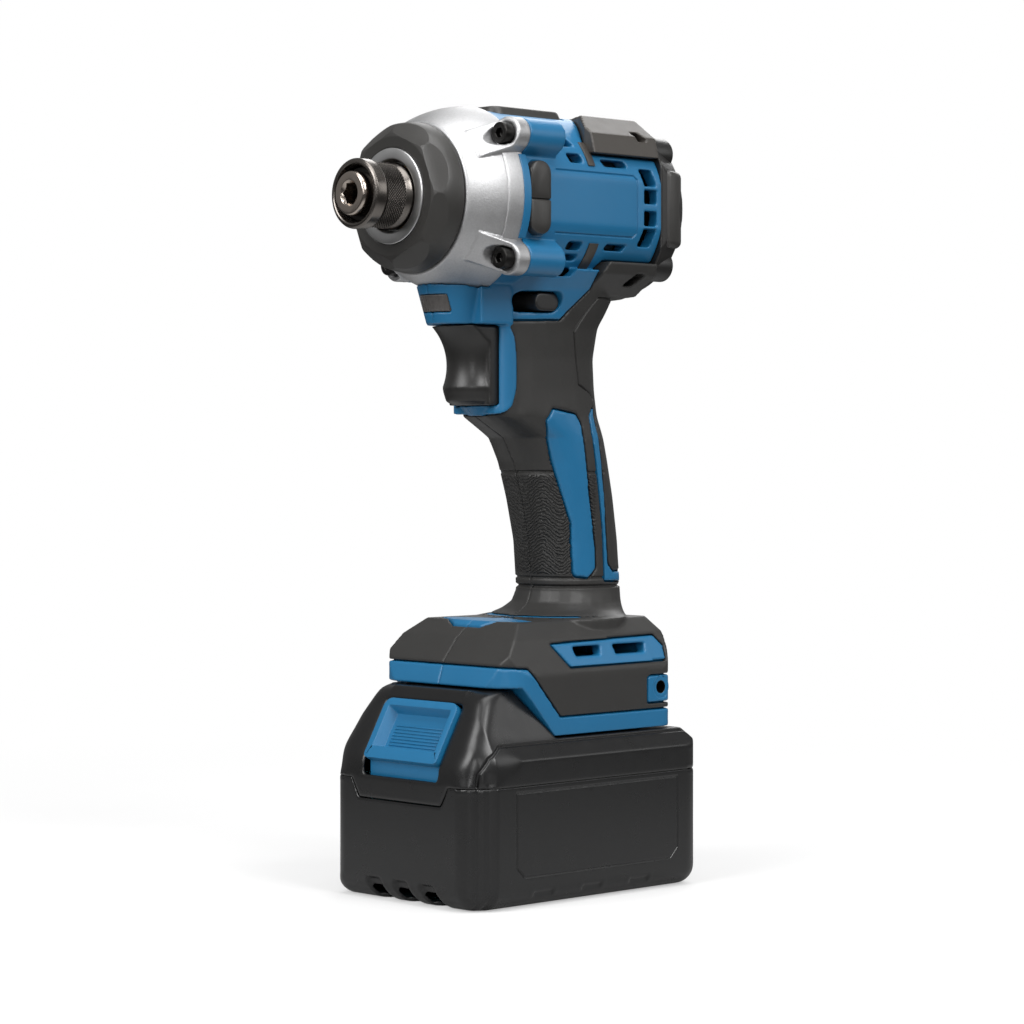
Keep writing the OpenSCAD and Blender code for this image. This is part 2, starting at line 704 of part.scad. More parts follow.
function foot_point(s) = [foot_back + s[0] * foot_l, foot_z + s[1] * foot_h];
module inlays(grow) {
  side_view(2 * pack_w) offset(delta = grow) {
    polygon([for (s = inlay_shares) grip_point(s)]);
    polygon([for (s = stripe_shares) grip_point(s)]);
    polygon([for (s = vent_panel_shares) foot_point(s)]);
    polygon([for (s = hook_panel_shares) foot_point(s)]);
  }
  translate([0, 0, foot_z + foot_edge_share * foot_h]) linear_extrude(foot_h) offset(delta = grow)
    polygon([for (s = brow_inlay_shares) [foot_back + (s[0] - foot_top_in_share) * foot_l, s[1] * foot_w / 2]]);
}

// Coloured region, grown or shrunk all round.
module coloured(grow) {
  paint_region(grow);
  skirt_region(grow);
  inlays(grow);
}

// Block under the gear case that roofs the trigger and carries the lamp
guard_fore = 17.2;
guard_half = 13.4;
guard_slant = 4.5;
guard_rise_share = 0.42;
guard_tail = 14.5;
module guard(grow) {
  h = head_rise * guard_rise_share;
  translate([flange_x + guard_fore - guard_half, 0, roof_z])
    cylinder(h, guard_half - guard_slant + grow, guard_half + grow);
  block([flange_x + guard_fore - guard_half - guard_tail, -guard_half, roof_z],
    [flange_x + guard_fore - guard_half, guard_half, roof_z + h]);
}

// Hook under the trigger
curl_fore = 4.2;
curl_h = 3.4;
curl_half = 8.5;
curl_low_share = 0.6;
curl_z_share = 0.7;
curl_z = handle_z + handle_h * curl_z_share;
trigger_back = handle_rings[6][2];
module curl() translate([trigger_back + curl_fore - curl_half, 0, curl_z - curl_h])
  cylinder(curl_h, curl_half * curl_low_share, curl_half, $fn = ring_points);

// Bow of the housing that runs down behind the trigger
bow_half = 13.2;
bow_l = 16;
bow_round = 5;
module trigger_bow() intersection() {
  paint_region(-groove / 2);
  translate([0, 0, curl_z - curl_h]) linear_extrude(roof_z - curl_z + curl_h + cut)
    rounded(trigger_back - bow_l, trigger_back, -bow_half, bow_half, bow_round);
}

// Direction lever and its slot
lever_z_share = 0.19;
lever_z = roof_z + head_rise * lever_z_share;
lever_set = 4.6;
lever_back = trigger_back - lever_slot_l - lever_set;
lever_l_share = 0.66;
lever_half = 17.6;
lever_play = 0.5;
module lever_shape(l, h, play) rounded(lever_back + play, lever_back + l - play, lever_z - h / 2 + play,
  lever_z + h / 2 - play, h / 2 - play - film);

// Work light
lamp_w = 13;
lamp_h = 5.4;
lamp_l = 8;
lamp_z_share = 0.165;
lamp_z = roof_z + head_rise * lamp_z_share;
lamp_front = flange_x + guard_fore;
module lamp_block(grow) block([lamp_front - lamp_l - guard_slant - grow, -lamp_w / 2 - grow, lamp_z - lamp_h / 2 - grow],
  [lamp_front + cut, lamp_w / 2 + grow, lamp_z + lamp_h / 2 + grow]);

// Side and top pads
side_pad_l = 8.2;
side_pad_h = 24;
side_pad_back = 11.2;
side_pad_out = 2.6;
pad_seat = 27;
top_pad_l = 33;
top_pad_w = 18;
top_pad_back_share = 0.61;
top_pad_h = 1.3;
top_seat = 28.1;
pad_round = 3.6;
module side_pad_shape(grow) translate([flange_x - side_pad_back, axis_h])
  rounded(-grow, side_pad_l + grow, -side_pad_h / 2 - grow, side_pad_h / 2 + grow, pad_round);
module top_pad_shape(grow) translate([flange_x - head_l * top_pad_back_share, 0])
  rounded(-grow, top_pad_l + grow, -top_pad_w / 2 - grow, top_pad_w / 2 + grow, pad_round);

// Slots seen from the side, as shares of the motor housing: [start, end, height, thickness, slant]
vent_shares = [
  [0.3, 0.435, 0.644, 0.105, 0.03], [0.344, 0.455, 0.462, 0.1, 0.012], [0.579, 0.774, 0.437, 0.076, 0.02],
  [0.341, 0.455, -0.482, 0.09, 0.012], [0.346, 0.455, -0.6, 0.065, 0.012], [0.3, 0.444, -0.76, 0.1, 0.03],
  [0.61, 0.774, -0.475, 0.07, 0.02]
];
cover_slot_shares = [[0.829, 0.93, 0.76, 0.1, 0.03], [0.823, 0.925, -0.81, 0.13, 0.03]];
module head_slots(shares) side_view(2 * pack_w) for (v = shares) let (m = sign(v[2])) polygon([
  head_point([v[0], -v[2] - m * v[3] / 2]), head_point([v[1] - v[4], -v[2] - m * v[3] / 2]),
  head_point([v[1], -v[2] + m * v[3] / 2]), head_point([v[0] + v[4], -v[2] + m * v[3] / 2])
]);

// Outlets of the fan: [height, thickness, lean] as shares
fan_vent_shares = [[0.31, 0.188, 0.022], [0.102, 0.158, 0], [-0.137, 0.168, 0], [-0.347, 0.198, 0.022]];
fan_vent_fore_share = 0.87;
fan_vent_back_share = 0.965;
module fan_vents() side_view(2 * pack_w) for (v = fan_vent_shares) let (m = sign(v[0])) polygon([
  head_point([fan_vent_fore_share, -v[0] + m * v[1] / 2]), head_point([fan_vent_back_share, -v[0] + m * v[1] / 2]),
  head_point([fan_vent_back_share - v[2], -v[0] - m * v[1] / 2]),
  head_point([fan_vent_fore_share - v[2], -v[0] - m * v[1] / 2])
]);

module vents() {
  head_slots(vent_shares);
  head_slots(cover_slot_shares);
  fan_vents();
}

// Slots of the control board's cooling air in the foot
foot_slot_shares = [[0.404, 0.57], [0.136, 0.332]];
foot_slot_low_share = 0.68;
foot_slot_top_share = 0.77;
module foot_slots() side_view(2 * pack_w) for (v = foot_slot_shares)
  polygon([foot_point([v[0], foot_slot_top_share]), foot_point([v[1], foot_slot_top_share]),
    foot_point([v[1] - film, foot_slot_low_share]), foot_point([v[0] + film, foot_slot_low_share])]);

// Belt hook thread
hook_share = [0.072, 0.36];
hook_x = foot_point(hook_share)[0];
hook_z = foot_point(hook_share)[1];
insert_r = 3.4;
insert_l = 8;
insert_in = 0.4;
hook_boss_r = 5.6;

// Screws that join the housing halves, driven from the right
screw_r = 1.5;
screw_head_r = 3;
screw_head_h = 2.4;
screw_boss_r = 3.6;
screw_l = 20;
screw_grip = 8;
joint_screw_shares = [[0.66, 0.46]];
foot_screw_shares = [[0.83, 0.74], [0.09, 0.72]];
screw_places = concat([for (s = joint_screw_shares) grip_point(s)], [for (s = foot_screw_shares) foot_point(s)]);
module screw_axis(p, y) translate([p[0], y, p[1]]) rotate([-90, 0, 0]) children();

// Rail channel under the foot
rail_play = 0.35;
module rail_channel() {
  block([foot_back + rail_back_in - cut, -rail_neck / 2 - rail_play, foot_z - cut],
    [foot_front, rail_neck / 2 + rail_play, foot_z + rail_h]);
  block([foot_back + rail_back_in - cut, -rail_head / 2 - rail_play, deck_z + rail_lip - rail_play],
    [foot_front, rail_head / 2 + rail_play, deck_z + rail_h + rail_play]);
}

// Pocket that the latch tongue enters
module latch_pocket() block([diag_x - latch_bite - cut, -latch_w / 2 - rail_play, latch_z - latch_t - button_travel],
  [foot_front, latch_w / 2 + rail_play, latch_z + rail_play]);

ear_places = [for (y = [-ear_y, ear_y], z = [-ear_z, ear_z]) [y, z]];
ear_screw_r = 2;
ear_head_r = 3.5;
ear_head_h = 4;
ear_hex_af = 3;
ear_hex_d = 2;
ear_seat = 5;
ear_screw_l = 16;
ear_boss_l = 16;
ear_root_share = 0.72;

// Solid motor housing with its screw bosses, shrunk by an inset.
module barrel(inset) {
  front_view(head_back, head_l - slip) translate([0, axis_h]) head_round(inset);
  if (inset == 0) front_view(flange_x - ear_boss_l, ear_boss_l) translate([0, axis_h]) for (p = ear_places) hull() {
    translate(p) circle(ear_r, $fn = round_cut);
    translate(p * ear_root_share) circle(ear_r, $fn = round_cut);
  }
}

trigger_play = 0.4;
trigger_in = 8.5;
trigger_low = roof_z - trigger_play - trigger_h;
module trigger_slot() block([trigger_back - trigger_in - trigger_travel - cut, -trigger_w / 2 - trigger_play, curl_z],
  [pack_l, trigger_w / 2 + trigger_play, roof_z]);

// Holes of the screws at the rear cap
cap_screw_r = 1.1;
cap_screw_at = 27;
cap_screw_l = 14;
cap_screw_play = 0.1;
cap_screw_a = 45;
cap_head_r = 2.4;
cap_head_h = 2;
module cap_screw_axes(x) on_axis(x) for (k = [0 : 3]) rotate(cap_screw_a + 90 * k) translate([cap_screw_at, 0, 0])
  children();

// One half of the housing; side 1 is the left half.
module housing(side) half(side) difference() {
  union() {
    difference() {
      union() {
        body_skin(skin);
        barrel(skin);
        intersection() {
          union() {
            body_skin(0);
            difference() {
              barrel(0);
              top_region(groove / 2);
            }
          }
          coloured(-groove / 2);
        }
        guard(0);
        curl();
        trigger_bow();
      }
      body_skin(skin + wall);
    }
    intersection() {
      body_skin(skin);
      union() {
        for (p = screw_places) screw_axis(p, -foot_w / 2) cylinder(foot_w, screw_boss_r, screw_boss_r, $fn = round_cut);
        for (s = [-1, 1]) screw_axis([hook_x, hook_z], s > 0 ? foot_w / 2 - insert_l - wall : -foot_w / 2)
          cylinder(insert_l + wall, hook_boss_r, hook_boss_r, $fn = round_cut);
      }
    }
  }
  on_axis(head_back - cut) cylinder(head_l + 2 * cut, stator_r + slip, stator_r + slip, $fn = round_big);
  bell_envelope(slip);
  trigger_slot();
  side_view(2 * pack_w) lever_shape(lever_slot_l, lever_slot_h, 0);
  lamp_block(slip);
  vents();
  foot_slots();
  rail_channel();
  latch_pocket();
  for (s = [0, 1]) mirror([0, s, 0]) translate([0, pad_seat + pack_w, 0]) side_view(2 * pack_w) side_pad_shape(slip);
  translate([0, 0, axis_h + top_seat]) linear_extrude(head_r) top_pad_shape(slip);
  for (p = screw_places) {
    screw_axis(p, -pack_w)
      cylinder(pack_w - screw_grip + screw_l + slip, screw_r + slip, screw_r + slip, $fn = round_cut);
    screw_axis(p, -pack_w) cylinder(pack_w - screw_grip, screw_head_r + slip, screw_head_r + slip, $fn = round_cut);
  }
  for (s = [0, 1]) mirror([0, s, 0]) screw_axis([hook_x, hook_z], foot_w / 2 - insert_l)
    cylinder(insert_l + cut, insert_r + slip, insert_r + slip, $fn = round_cut);
  on_axis(flange_x - ear_screw_l) for (p = ear_places) translate(p)
    cylinder(ear_screw_l + cut, ear_screw_r + slip, ear_screw_r + slip, $fn = round_cut);
  cap_screw_axes(head_back - cut) cylinder(cap_screw_l, cap_screw_r + cap_screw_play, cap_screw_r + cap_screw_play,
    $fn = round_cut);
}

module housing_left() color("#2c669c") housing(1);
module housing_right() color("#2c669c") housing(-1);

// Rubber cover of the handle, the foot and the lower rear of the motor housing, on one half.
module grip_cover(side) half(side) difference() {
  union() {
    body_skin(0);
    front_view(head_back, head_l) translate([0, axis_h]) head_facets(0);
  }
  body_skin(skin - slip);
  front_view(head_back - cut, head_l + 2 * cut) translate([0, axis_h]) head_round(skin - slip);
  coloured(groove / 2);
  block([-pack_l, -pack_w, axis_h], [pack_l, pack_w, 2 * axis_h]);
  trigger_slot();
  guard(slip);
  curl();
  head_slots(cover_slot_shares);
  rail_channel();
  for (p = screw_places) screw_axis(p, -pack_w)
    cylinder(pack_w, screw_head_r + slip, screw_head_r + slip, $fn = round_cut);
}

module grip_cover_left() color("#232323") grip_cover(1);
module grip_cover_right() color("#232323") grip_cover(-1);

// Rubber cover on the top rear of the motor housing, on one half.
module top_cover(side) half(side) intersection() {
  difference() {
    front_view(head_back, head_l) translate([0, axis_h]) head_facets(0);
    front_view(head_back - cut, head_l + 2 * cut) translate([0, axis_h]) head_round(skin - slip);
    head_slots(cover_slot_shares);
  }
  top_region(-groove / 2);
}

module top_cover_left() color("#232323") top_cover(1);
module top_cover_right() color("#232323") top_cover(-1);

// Rear cap with its bearing seat; the rear pad wraps round its back
bearing_r = 8;
bearing_l = 5;
bearing_seat = 2.6;
cap_taper = 3.4;
rear_pad_half = 28.4;
rear_pad_h = 25;
rear_pad_wrap = 6;
rear_pad_in = 4.5;
rear_pad_round = 17;
rear_pad_arc = 40;
module rear_pad_block(grow) difference() {
  intersection() {
    translate([0, 0, axis_h - rear_pad_h / 2 - grow]) linear_extrude(rear_pad_h + 2 * grow)
      rounded(cap_back - rear_pad_t - grow, cap_back + 2 * rear_pad_round, -rear_pad_half - grow, rear_pad_half + grow,
        rear_pad_round + grow);
    side_view(pack_w) translate([cap_back - rear_pad_t + rear_pad_arc, axis_h])
      circle(rear_pad_arc + grow, $fn = 2 * round_big);
    block([cap_back - cap_l, -head_w, 0], [cap_back + rear_pad_wrap + grow, head_w, 2 * axis_h]);
  }
  translate([0, 0, axis_h - rear_pad_h]) linear_extrude(2 * rear_pad_h)
    rounded(cap_back + grow, cap_back + 2 * rear_pad_round, -rear_pad_half + rear_pad_in + grow,
      rear_pad_half - rear_pad_in - grow, rear_pad_round - rear_pad_t - grow);
}

module rear_cap() color("#232323") difference() {
  intersection() {
    front_view(cap_back, cap_l - slip) translate([0, axis_h]) head_facets(slip);
    on_axis(cap_back) cylinder(cap_l, head_r + cut - cap_taper, head_r + 2 * cut);
  }
  rear_pad_block(slip);
  rod(cap_back + bearing_seat, head_back + cut, bearing_r + run);
  tube(head_back - cap_l + bearing_seat + bearing_l, head_back + cut, cap_screw_at - cap_head_r - cut, bearing_r);
  cap_screw_axes(cap_back - cut) cylinder(cap_l + 2 * cut, cap_screw_r + cap_screw_play, cap_screw_r + cap_screw_play);
  cap_screw_axes(cap_back - cut) cylinder(cap_l / 2 + cut, cap_head_r + slip, cap_head_r + slip);
}

module rear_pad() color("#1c1c1c") rear_pad_block(0);

module rear_cap_screws() color("#55585c") cap_screw_axes(cap_back + cap_l / 2) {
  translate([0, 0, -cap_head_h]) cylinder(cap_head_h, cap_head_r, cap_head_r);
  cylinder(cap_screw_l, cap_screw_r, cap_screw_r);
}

module side_pads() color("#232323") for (s = [0, 1]) mirror([0, s, 0])
  translate([0, head_w / 2 + side_pad_out, 0]) rotate([90, 0, 0])
    linear_extrude(head_w / 2 + side_pad_out - pad_seat - slip) side_pad_shape(0);

module top_pad() color("#232323") translate([0, 0, axis_h + top_seat + slip])
  linear_extrude(head_r + top_pad_h - top_seat - slip) top_pad_shape(0);

module hook_inserts() color("#b08d3e") for (s = [0, 1]) mirror([0, s, 0])
  screw_axis([hook_x, hook_z], foot_w / 2 - insert_l) difference() {
    cylinder(insert_l - insert_in, insert_r, insert_r);
    translate([0, 0, cut]) cylinder(insert_l, hook_thread_r, hook_thread_r);
  }

module housing_screws() color("#55585c") for (p = screw_places) screw_axis(p, -screw_grip) {
  translate([0, 0, -screw_head_h]) cylinder(screw_head_h, screw_head_r, screw_head_r);
  cylinder(screw_l, screw_r, screw_r);
}

// Gear case

bell_r0 = bell_r - bell_arc;
bell_lean = 2.2;
bumper_l = 7.4;
bell_l = case_l - bumper_l;
mouth_fore = 3.4;
mouth_x = nose_x + mouth_fore;
bumper_run = bumper_l + mouth_fore;
wall_front = 7.6;

// Bell of the gear case as a solid of revolution, grown by a gap.
module bell_envelope(grow) on_axis(flange_x) rotate_extrude() intersection() {
  translate([bell_r0, -bell_lean]) circle(bell_arc + grow, $fn = round_big * 2);
  square([bell_r + cut, case_l]);
}

module ear_web(r) for (p = ear_places) rotate(atan2(p[1], p[0])) translate([0, -r]) square([norm(p), 2 * r]);

ear_tip = 34;
ear_slope = 1;
ear_run = 16;
ear_end_r = 28;
module gear_case() color("#b4b6b8") difference() {
  union() {
    on_axis(flange_x) rotate_extrude() intersection() {
      translate([bell_r0, -bell_lean]) circle(bell_arc);
      square([bell_r + cut, bell_l]);
    }
    rod(flange_x + bell_l - cut, mouth_x - washer_t, neck_r);
    // ears and the bosses that run forward from them
    intersection() {
      on_axis(flange_x) linear_extrude(ear_run) {
        for (p = ear_places) translate(p) circle(ear_r);
        ear_web(ear_r);
      }
      on_axis(flange_x) rotate_extrude() polygon([[0, 0], [ear_tip + ear_r, 0], [ear_tip + ear_r, ear_seat],
        [ear_tip, ear_seat + ear_slope], [ear_end_r, ear_run], [0, ear_run]]);
    }
  }
  on_axis(flange_x) for (p = ear_places) translate(p) {
    translate([0, 0, -cut]) cylinder(case_l, ear_screw_r + slip, ear_screw_r + slip);
    translate([0, 0, ear_seat]) cylinder(case_l, ear_head_r + slip + slip, ear_head_r + slip + slip);
  }
  rod(flange_x - cut, nose_x - wall_front, chamber_r);
  rod(flange_x - cut, nose_x + cut, bush_r + run);
  rod(nose_x - washer_t, mouth_x + cut, washer_in);
}

module gear_case_screws() color("#2a2a2c") on_axis(flange_x + ear_seat) for (p = ear_places) translate(p)
  difference() {
    union() {
      cylinder(ear_head_h, ear_head_r, ear_head_r);
      translate([0, 0, -ear_seat - ear_screw_l + cut]) cylinder(ear_seat + ear_screw_l - cut, ear_screw_r, ear_screw_r);
    }
    translate([0, 0, ear_head_h - ear_hex_d]) cylinder(ear_hex_d + cut, ear_hex_af / sqrt(3), ear_hex_af / sqrt(3), $fn = 6);
  }

bumper_face_r = 19.2;
bumper_lip = 1.4;
bumper_brow_r = 23.6;
bumper_brow_in = 3.6;
bumper_mid_r = 21.8;
bumper_mid_in = 1.5;
bumper_front_in = 0.4;
bumper_facet_rise = 5.2;
bumper_sides = 8;
module nose_bumper() color("#202020") intersection() {
  on_axis(flange_x + bell_l) rotate_extrude() polygon([
    [neck_r + slip, slip], [bumper_r, slip], [bumper_r, bumper_lip], [bumper_brow_r, bumper_run - bumper_brow_in],
    [bumper_mid_r, bumper_run - bumper_mid_in], [bumper_face_r, bumper_run - bumper_front_in],
    [neck_r + slip, bumper_run - bumper_front_in]
  ]);
  on_axis(flange_x + bell_l) rotate(180 / bumper_sides)
    cylinder(bumper_run, (bumper_r + bumper_facet_rise) / cos(180 / bumper_sides),
      bumper_face_r / cos(180 / bumper_sides), $fn = bumper_sides);
}

washer_t = 1;
washer_in = 11.85;
module front_washer() color("#d6d8da") tube(mouth_x - washer_t, mouth_x, neck_r, washer_in);

bush_r = 10;
bush_l = 6;
anvil_neck_r = 8.5;
module anvil_bush() color("#a9803c") tube(nose_x - wall_front + slip, nose_x - wall_front + slip + bush_l, bush_r,
  anvil_neck_r + run);

// Planet stage

gear_l = 7;
gear_gap = 0.5;
pressure_a = 25;
tooth_up = 0.8;
tooth_down = 1;
backlash = 0.12;
ring_teeth = sun_teeth + 2 * planet_teeth;
planet_at = gear_m * (sun_teeth + planet_teeth) / 2;
ring_r = 22;
ring_l = 8;
plate_back = 22.5;
plate_wall = 6.5;
ring_x = flange_x - plate_back + plate_wall;
planet_x = ring_x + gear_gap;

function inv(a) = tan(a) * 180 / PI - a;
function tooth_half(z, r, play) = let (p = gear_m * z / 2, b = p * cos(pressure_a))
  90 / z - play / p * 90 / PI + inv(pressure_a) - inv(acos(min(1, b / max(r, b))));
// Outline of a gear with z teeth between the radii r_in and r_out.
function gear_points(z, r_in, r_out, play) = let (p = gear_m * z / 2, b = max(p * cos(pressure_a), r_in + film),
  radii = [r_in, b, p, (p + r_out) / 2, r_out])
  [for (i = [0 : z - 1]) each concat(
    [for (r = radii) let (a = 360 * i / z - tooth_half(z, r, play)) [r * cos(a), r * sin(a)]],
    [for (k = [len(radii) - 1 : -1 : 0]) let (r = radii[k], a = 360 * i / z + tooth_half(z, r, play))
      [r * cos(a), r * sin(a)]])];
module gear2d(z, play) polygon(gear_points(z, gear_m * (z / 2 - tooth_down), gear_m * (z / 2 + tooth_up), play));

module ring_gear() color("#7d7f82") on_axis(ring_x) linear_extrude(ring_l) difference() {
  circle(ring_r);
  rotate(180 / ring_teeth)
    polygon(gear_points(ring_teeth, gear_m * (ring_teeth / 2 - tooth_up), gear_m * (ring_teeth / 2 + tooth_down), -backlash));
}

pin_r = 2;
module planet_gear(k) on_axis(planet_x) rotate(360 * k / planets) translate([planet_at, 0, 0])
  linear_extrude(gear_l) difference() {
    rotate(180 / planet_teeth) gear2d(planet_teeth, backlash);
    circle(pin_r + run);
  }
module planet_gear_1() color("#8d8f92") planet_gear(0);
module planet_gear_2() color("#8d8f92") planet_gear(1);
module planet_gear_3() color("#8d8f92") planet_gear(2);

carrier_r = 15;
carrier_l = 4;
carrier_x = ring_x + ring_l + gear_gap;
pin_head = 0.4;
module planet_pins() color("#9a9c9f") for (k = [0 : planets - 1]) on_axis(planet_x - pin_head)
  rotate(360 * k / planets) translate([planet_at, 0, 0])
    cylinder(carrier_x + carrier_l - planet_x + pin_head, pin_r, pin_r);

module sun_pinion() color("#8d8f92") on_axis(planet_x) linear_extrude(gear_l) difference() {
  gear2d(sun_teeth, backlash);
  circle(shaft_r + film);
}

// Plate that closes the gear case, holds the ring gear and seats the front bearing.
module gear_cover() color("#3a3a3a") difference() {
  rod(flange_x - plate_back, flange_x - slip, stator_r - slip);
  rod(ring_x, flange_x + cut, ring_r + slip);
  rod(flange_x - plate_back + cut, flange_x, bearing_r + run);
  rod(flange_x - plate_back - cut, flange_x, shaft_r + cut);
}

// Spindle, cam balls and hammer

hammer_gap = 0.6;
hammer_back = carrier_x + carrier_l + hammer_travel + hammer_gap;
jaw_l = 4.6;
jaw_x = nose_x - wall_front - jaw_l - gear_gap;
hammer_front = jaw_x - hammer_gap;
pilot_r = 3;
pilot_l = 4;
ball_r = 2.6;
ball_share = 0.42;
ball_x = hammer_back + (hammer_front - hammer_back) * ball_share;
ball_play = 0.12;
cam_play = 0.3;

module ball_axes(x) on_axis(x) for (k = [0, 1]) rotate(180 * k) translate([0, spindle_r, 0]) children();

module spindle() color("#8b8d90") difference() {
  union() {
    rod(carrier_x, carrier_x + carrier_l, carrier_r);
    rod(carrier_x, hammer_front, spindle_r);
    rod(carrier_x, hammer_front + pilot_l, pilot_r);
  }
  for (k = [0 : planets - 1]) on_axis(carrier_x - cut) rotate(360 * k / planets) translate([planet_at, 0, 0])
    cylinder(carrier_l + 2 * cut, pin_r + film, pin_r + film);
  ball_axes(ball_x) rotate([90, 0, 0]) cylinder(spindle_r, ball_r + ball_play, ball_r + ball_play, center = true);
  rod(carrier_x - cut, carrier_x + carrier_l / 2, shaft_r + cut);
}

module cam_balls() color("#cfd1d4") ball_axes(ball_x) sphere(ball_r);

pocket_in = 9.5;
pocket_out = 15.6;
pocket_share = 0.72;
lug_in = 11;
lug_w = 9;
lug_l = 3.6;
pocket_end = hammer_back + (hammer_front - hammer_back) * pocket_share;
module hammer() color("#6f7174") difference() {
  union() {
    rod(hammer_back, hammer_front, hammer_r);
    intersection() {
      rod(hammer_front - cut, hammer_front + lug_l, hammer_r);
      on_axis(hammer_front - cut) linear_extrude(lug_l + cut) for (k = [-1, 1])
        translate([-lug_w / 2, k > 0 ? lug_in : -lug_in - hammer_r]) square([lug_w, hammer_r]);
    }
  }
  rod(hammer_back - cut, hammer_front + cut, spindle_r + run);
  tube(hammer_back - cut, pocket_end, pocket_out, pocket_in);
  ball_axes(ball_x - ball_r - cam_play) cylinder(2 * case_l, ball_r + cam_play, ball_r + cam_play);
}

hammer_wire = 1.3;
hammer_coil_r = 12.5;
hammer_turns = 3;
module hammer_spring() color("#a8aaad") on_axis(carrier_x + carrier_l + slip)
  coil(hammer_coil_r, hammer_wire, hammer_turns, pocket_end - carrier_x - carrier_l - 2 * slip);

// Anvil and bit holder

jaw_w = 9;
jaw_r = 17.5;
tip_bevel = 1;
groove_l = 1;
groove_d = 0.5;
sleeve_in = 1.8;
sleeve_back = tip_x - sleeve_l - sleeve_in;
bearing_share = 0.3;
cavity_r = 9;
cavity_x = sleeve_back + sleeve_l * bearing_share;
ring_groove_share = 0.78;
clip_x = sleeve_back + sleeve_l * ring_groove_share;
lock_r = 1.7;
lock_at = 4.7;
lock_share = 0.16;
lock_x = sleeve_back + sleeve_l * lock_share;
lock_play = 0.06;

module lock_axes() on_axis(lock_x) for (k = [0, 1]) rotate(180 * k) rotate([0, 90, 0]) children();

module anvil() color("#5c5e60") difference() {
  union() {
    intersection() {
      rod(jaw_x, jaw_x + jaw_l, jaw_r);
      on_axis(jaw_x) linear_extrude(jaw_l) square([2 * jaw_r, jaw_w], center = true);
    }
    rod(jaw_x, nose_x - washer_t, anvil_neck_r);
    rod(jaw_x, tip_x - tip_bevel, anvil_r);
    on_axis(tip_x - tip_bevel) cylinder(tip_bevel, anvil_r, anvil_r - tip_bevel / 2);
  }
  on_axis(tip_x - hex_depth) cylinder(hex_depth + cut, hex_af / sqrt(3), hex_af / sqrt(3), $fn = 6);
  on_axis(tip_x - tip_bevel) cylinder(tip_bevel + film, hex_af / 2, hex_af / 2 + tip_bevel + film);
  rod(jaw_x - cut, hammer_front + pilot_l + gear_gap, pilot_r + run);
  tube(clip_x, clip_x + groove_l, anvil_r + cut, anvil_r - groove_d);
  lock_axes() cylinder(anvil_r + cut, lock_r + lock_play, lock_r + lock_play);
}

module lock_balls() color("#cfd1d4") lock_axes() translate([0, 0, lock_at]) sphere(lock_r);

clip_r = 8.4;
module retaining_ring() color("#77797c") tube(clip_x + run, clip_x + groove_l - run, clip_r, anvil_r - groove_d + run);

stop_t = 0.8;
stop_r = 8.8;
module sleeve_washer() color("#9a9c9f") tube(clip_x - stop_t, clip_x, stop_r, anvil_r + run);

sleeve_wire = 0.42;
sleeve_coil_r = 8.32;
sleeve_turns = 4;
module sleeve_spring() color("#b8bcc0") on_axis(cavity_x + run)
  coil(sleeve_coil_r, sleeve_wire, sleeve_turns, clip_x - stop_t - cavity_x - 2 * run);

knurl_r = 10.3;
sleeve_waist_r = 9.9;
sleeve_tail_r = 10.8;
tail_share = 0.2;
waist_share = 0.28;
lip_share = 0.74;
lip_edge_share = 0.95;
lip_round = 0.8;
module collet_sleeve() color("#4a4c4e") on_axis(sleeve_back) rotate_extrude() polygon([
  [anvil_r + run, 0], [sleeve_tail_r, 0], [sleeve_tail_r, sleeve_l * tail_share], [sleeve_waist_r, sleeve_l * waist_share],
  [knurl_r, sleeve_l * waist_share], [knurl_r, sleeve_l * lip_share - lip_round], [sleeve_r, sleeve_l * lip_share],
  [sleeve_r, sleeve_l * lip_edge_share], [sleeve_r - lip_round, sleeve_l], [cavity_r, sleeve_l],
  [cavity_r, sleeve_l * bearing_share], [anvil_r + run, sleeve_l * bearing_share]
]);

// Motor

stator_gap = 4.4;
coil_end = 2.6;
sensor_t = 1.6;
sensor_gap = 0.4;
fan_l = 7;
fan_gap = 0.8;
fan_room = 2.9;
stack_l = stator_gap + coil_end + sensor_gap + sensor_t + fan_gap + fan_l + fan_room;
stator_l = head_l - plate_back - stack_l;
stator_x = flange_x - plate_back - stator_gap - stator_l;
slots = 6;
yoke_t = 3.6;
tooth_w = 5;
tooth_gap = 0.5;
coil_half = 5.6;
coil_in_share = 0.58;
coil_out_share = 0.815;
module stator_tooth(w, r0, r1) translate([r0, -w / 2]) square([r1 - r0, w]);

module stator_core() color("#8a8c8f") on_axis(stator_x) linear_extrude(stator_l) {
  ring2d(stator_r, stator_r - yoke_t);
  difference() {
    for (k = [0 : slots - 1]) rotate(360 * k / slots) stator_tooth(tooth_w, rotor_r, stator_r - yoke_t / 2);
    circle(rotor_r + tooth_gap);
  }
}

module stator_coils() color("#a3562c") for (k = [0 : slots - 1]) on_axis(stator_x - coil_end) rotate(360 * k / slots)
  difference() {
    linear_extrude(stator_l + 2 * coil_end)
      stator_tooth(2 * coil_half, stator_r * coil_in_share, stator_r * coil_out_share);
    translate([0, 0, coil_end - slip]) linear_extrude(stator_l + 2 * slip)
      stator_tooth(tooth_w + 2 * slip, rotor_r, stator_r);
  }

sensor_out = 21;
sensor_in = 8;
module sensor_board() color("#2f6b3c")
  tube(stator_x - coil_end - sensor_gap - sensor_t, stator_x - coil_end - sensor_gap, sensor_out, sensor_in);

module front_bearing() color("#b9bbbe")
  tube(flange_x - plate_back + cut, flange_x - plate_back + cut + bearing_l, bearing_r, shaft_r + run);
module rear_bearing() color("#b9bbbe")
  tube(cap_back + bearing_seat, cap_back + bearing_seat + bearing_l, bearing_r, shaft_r + run);

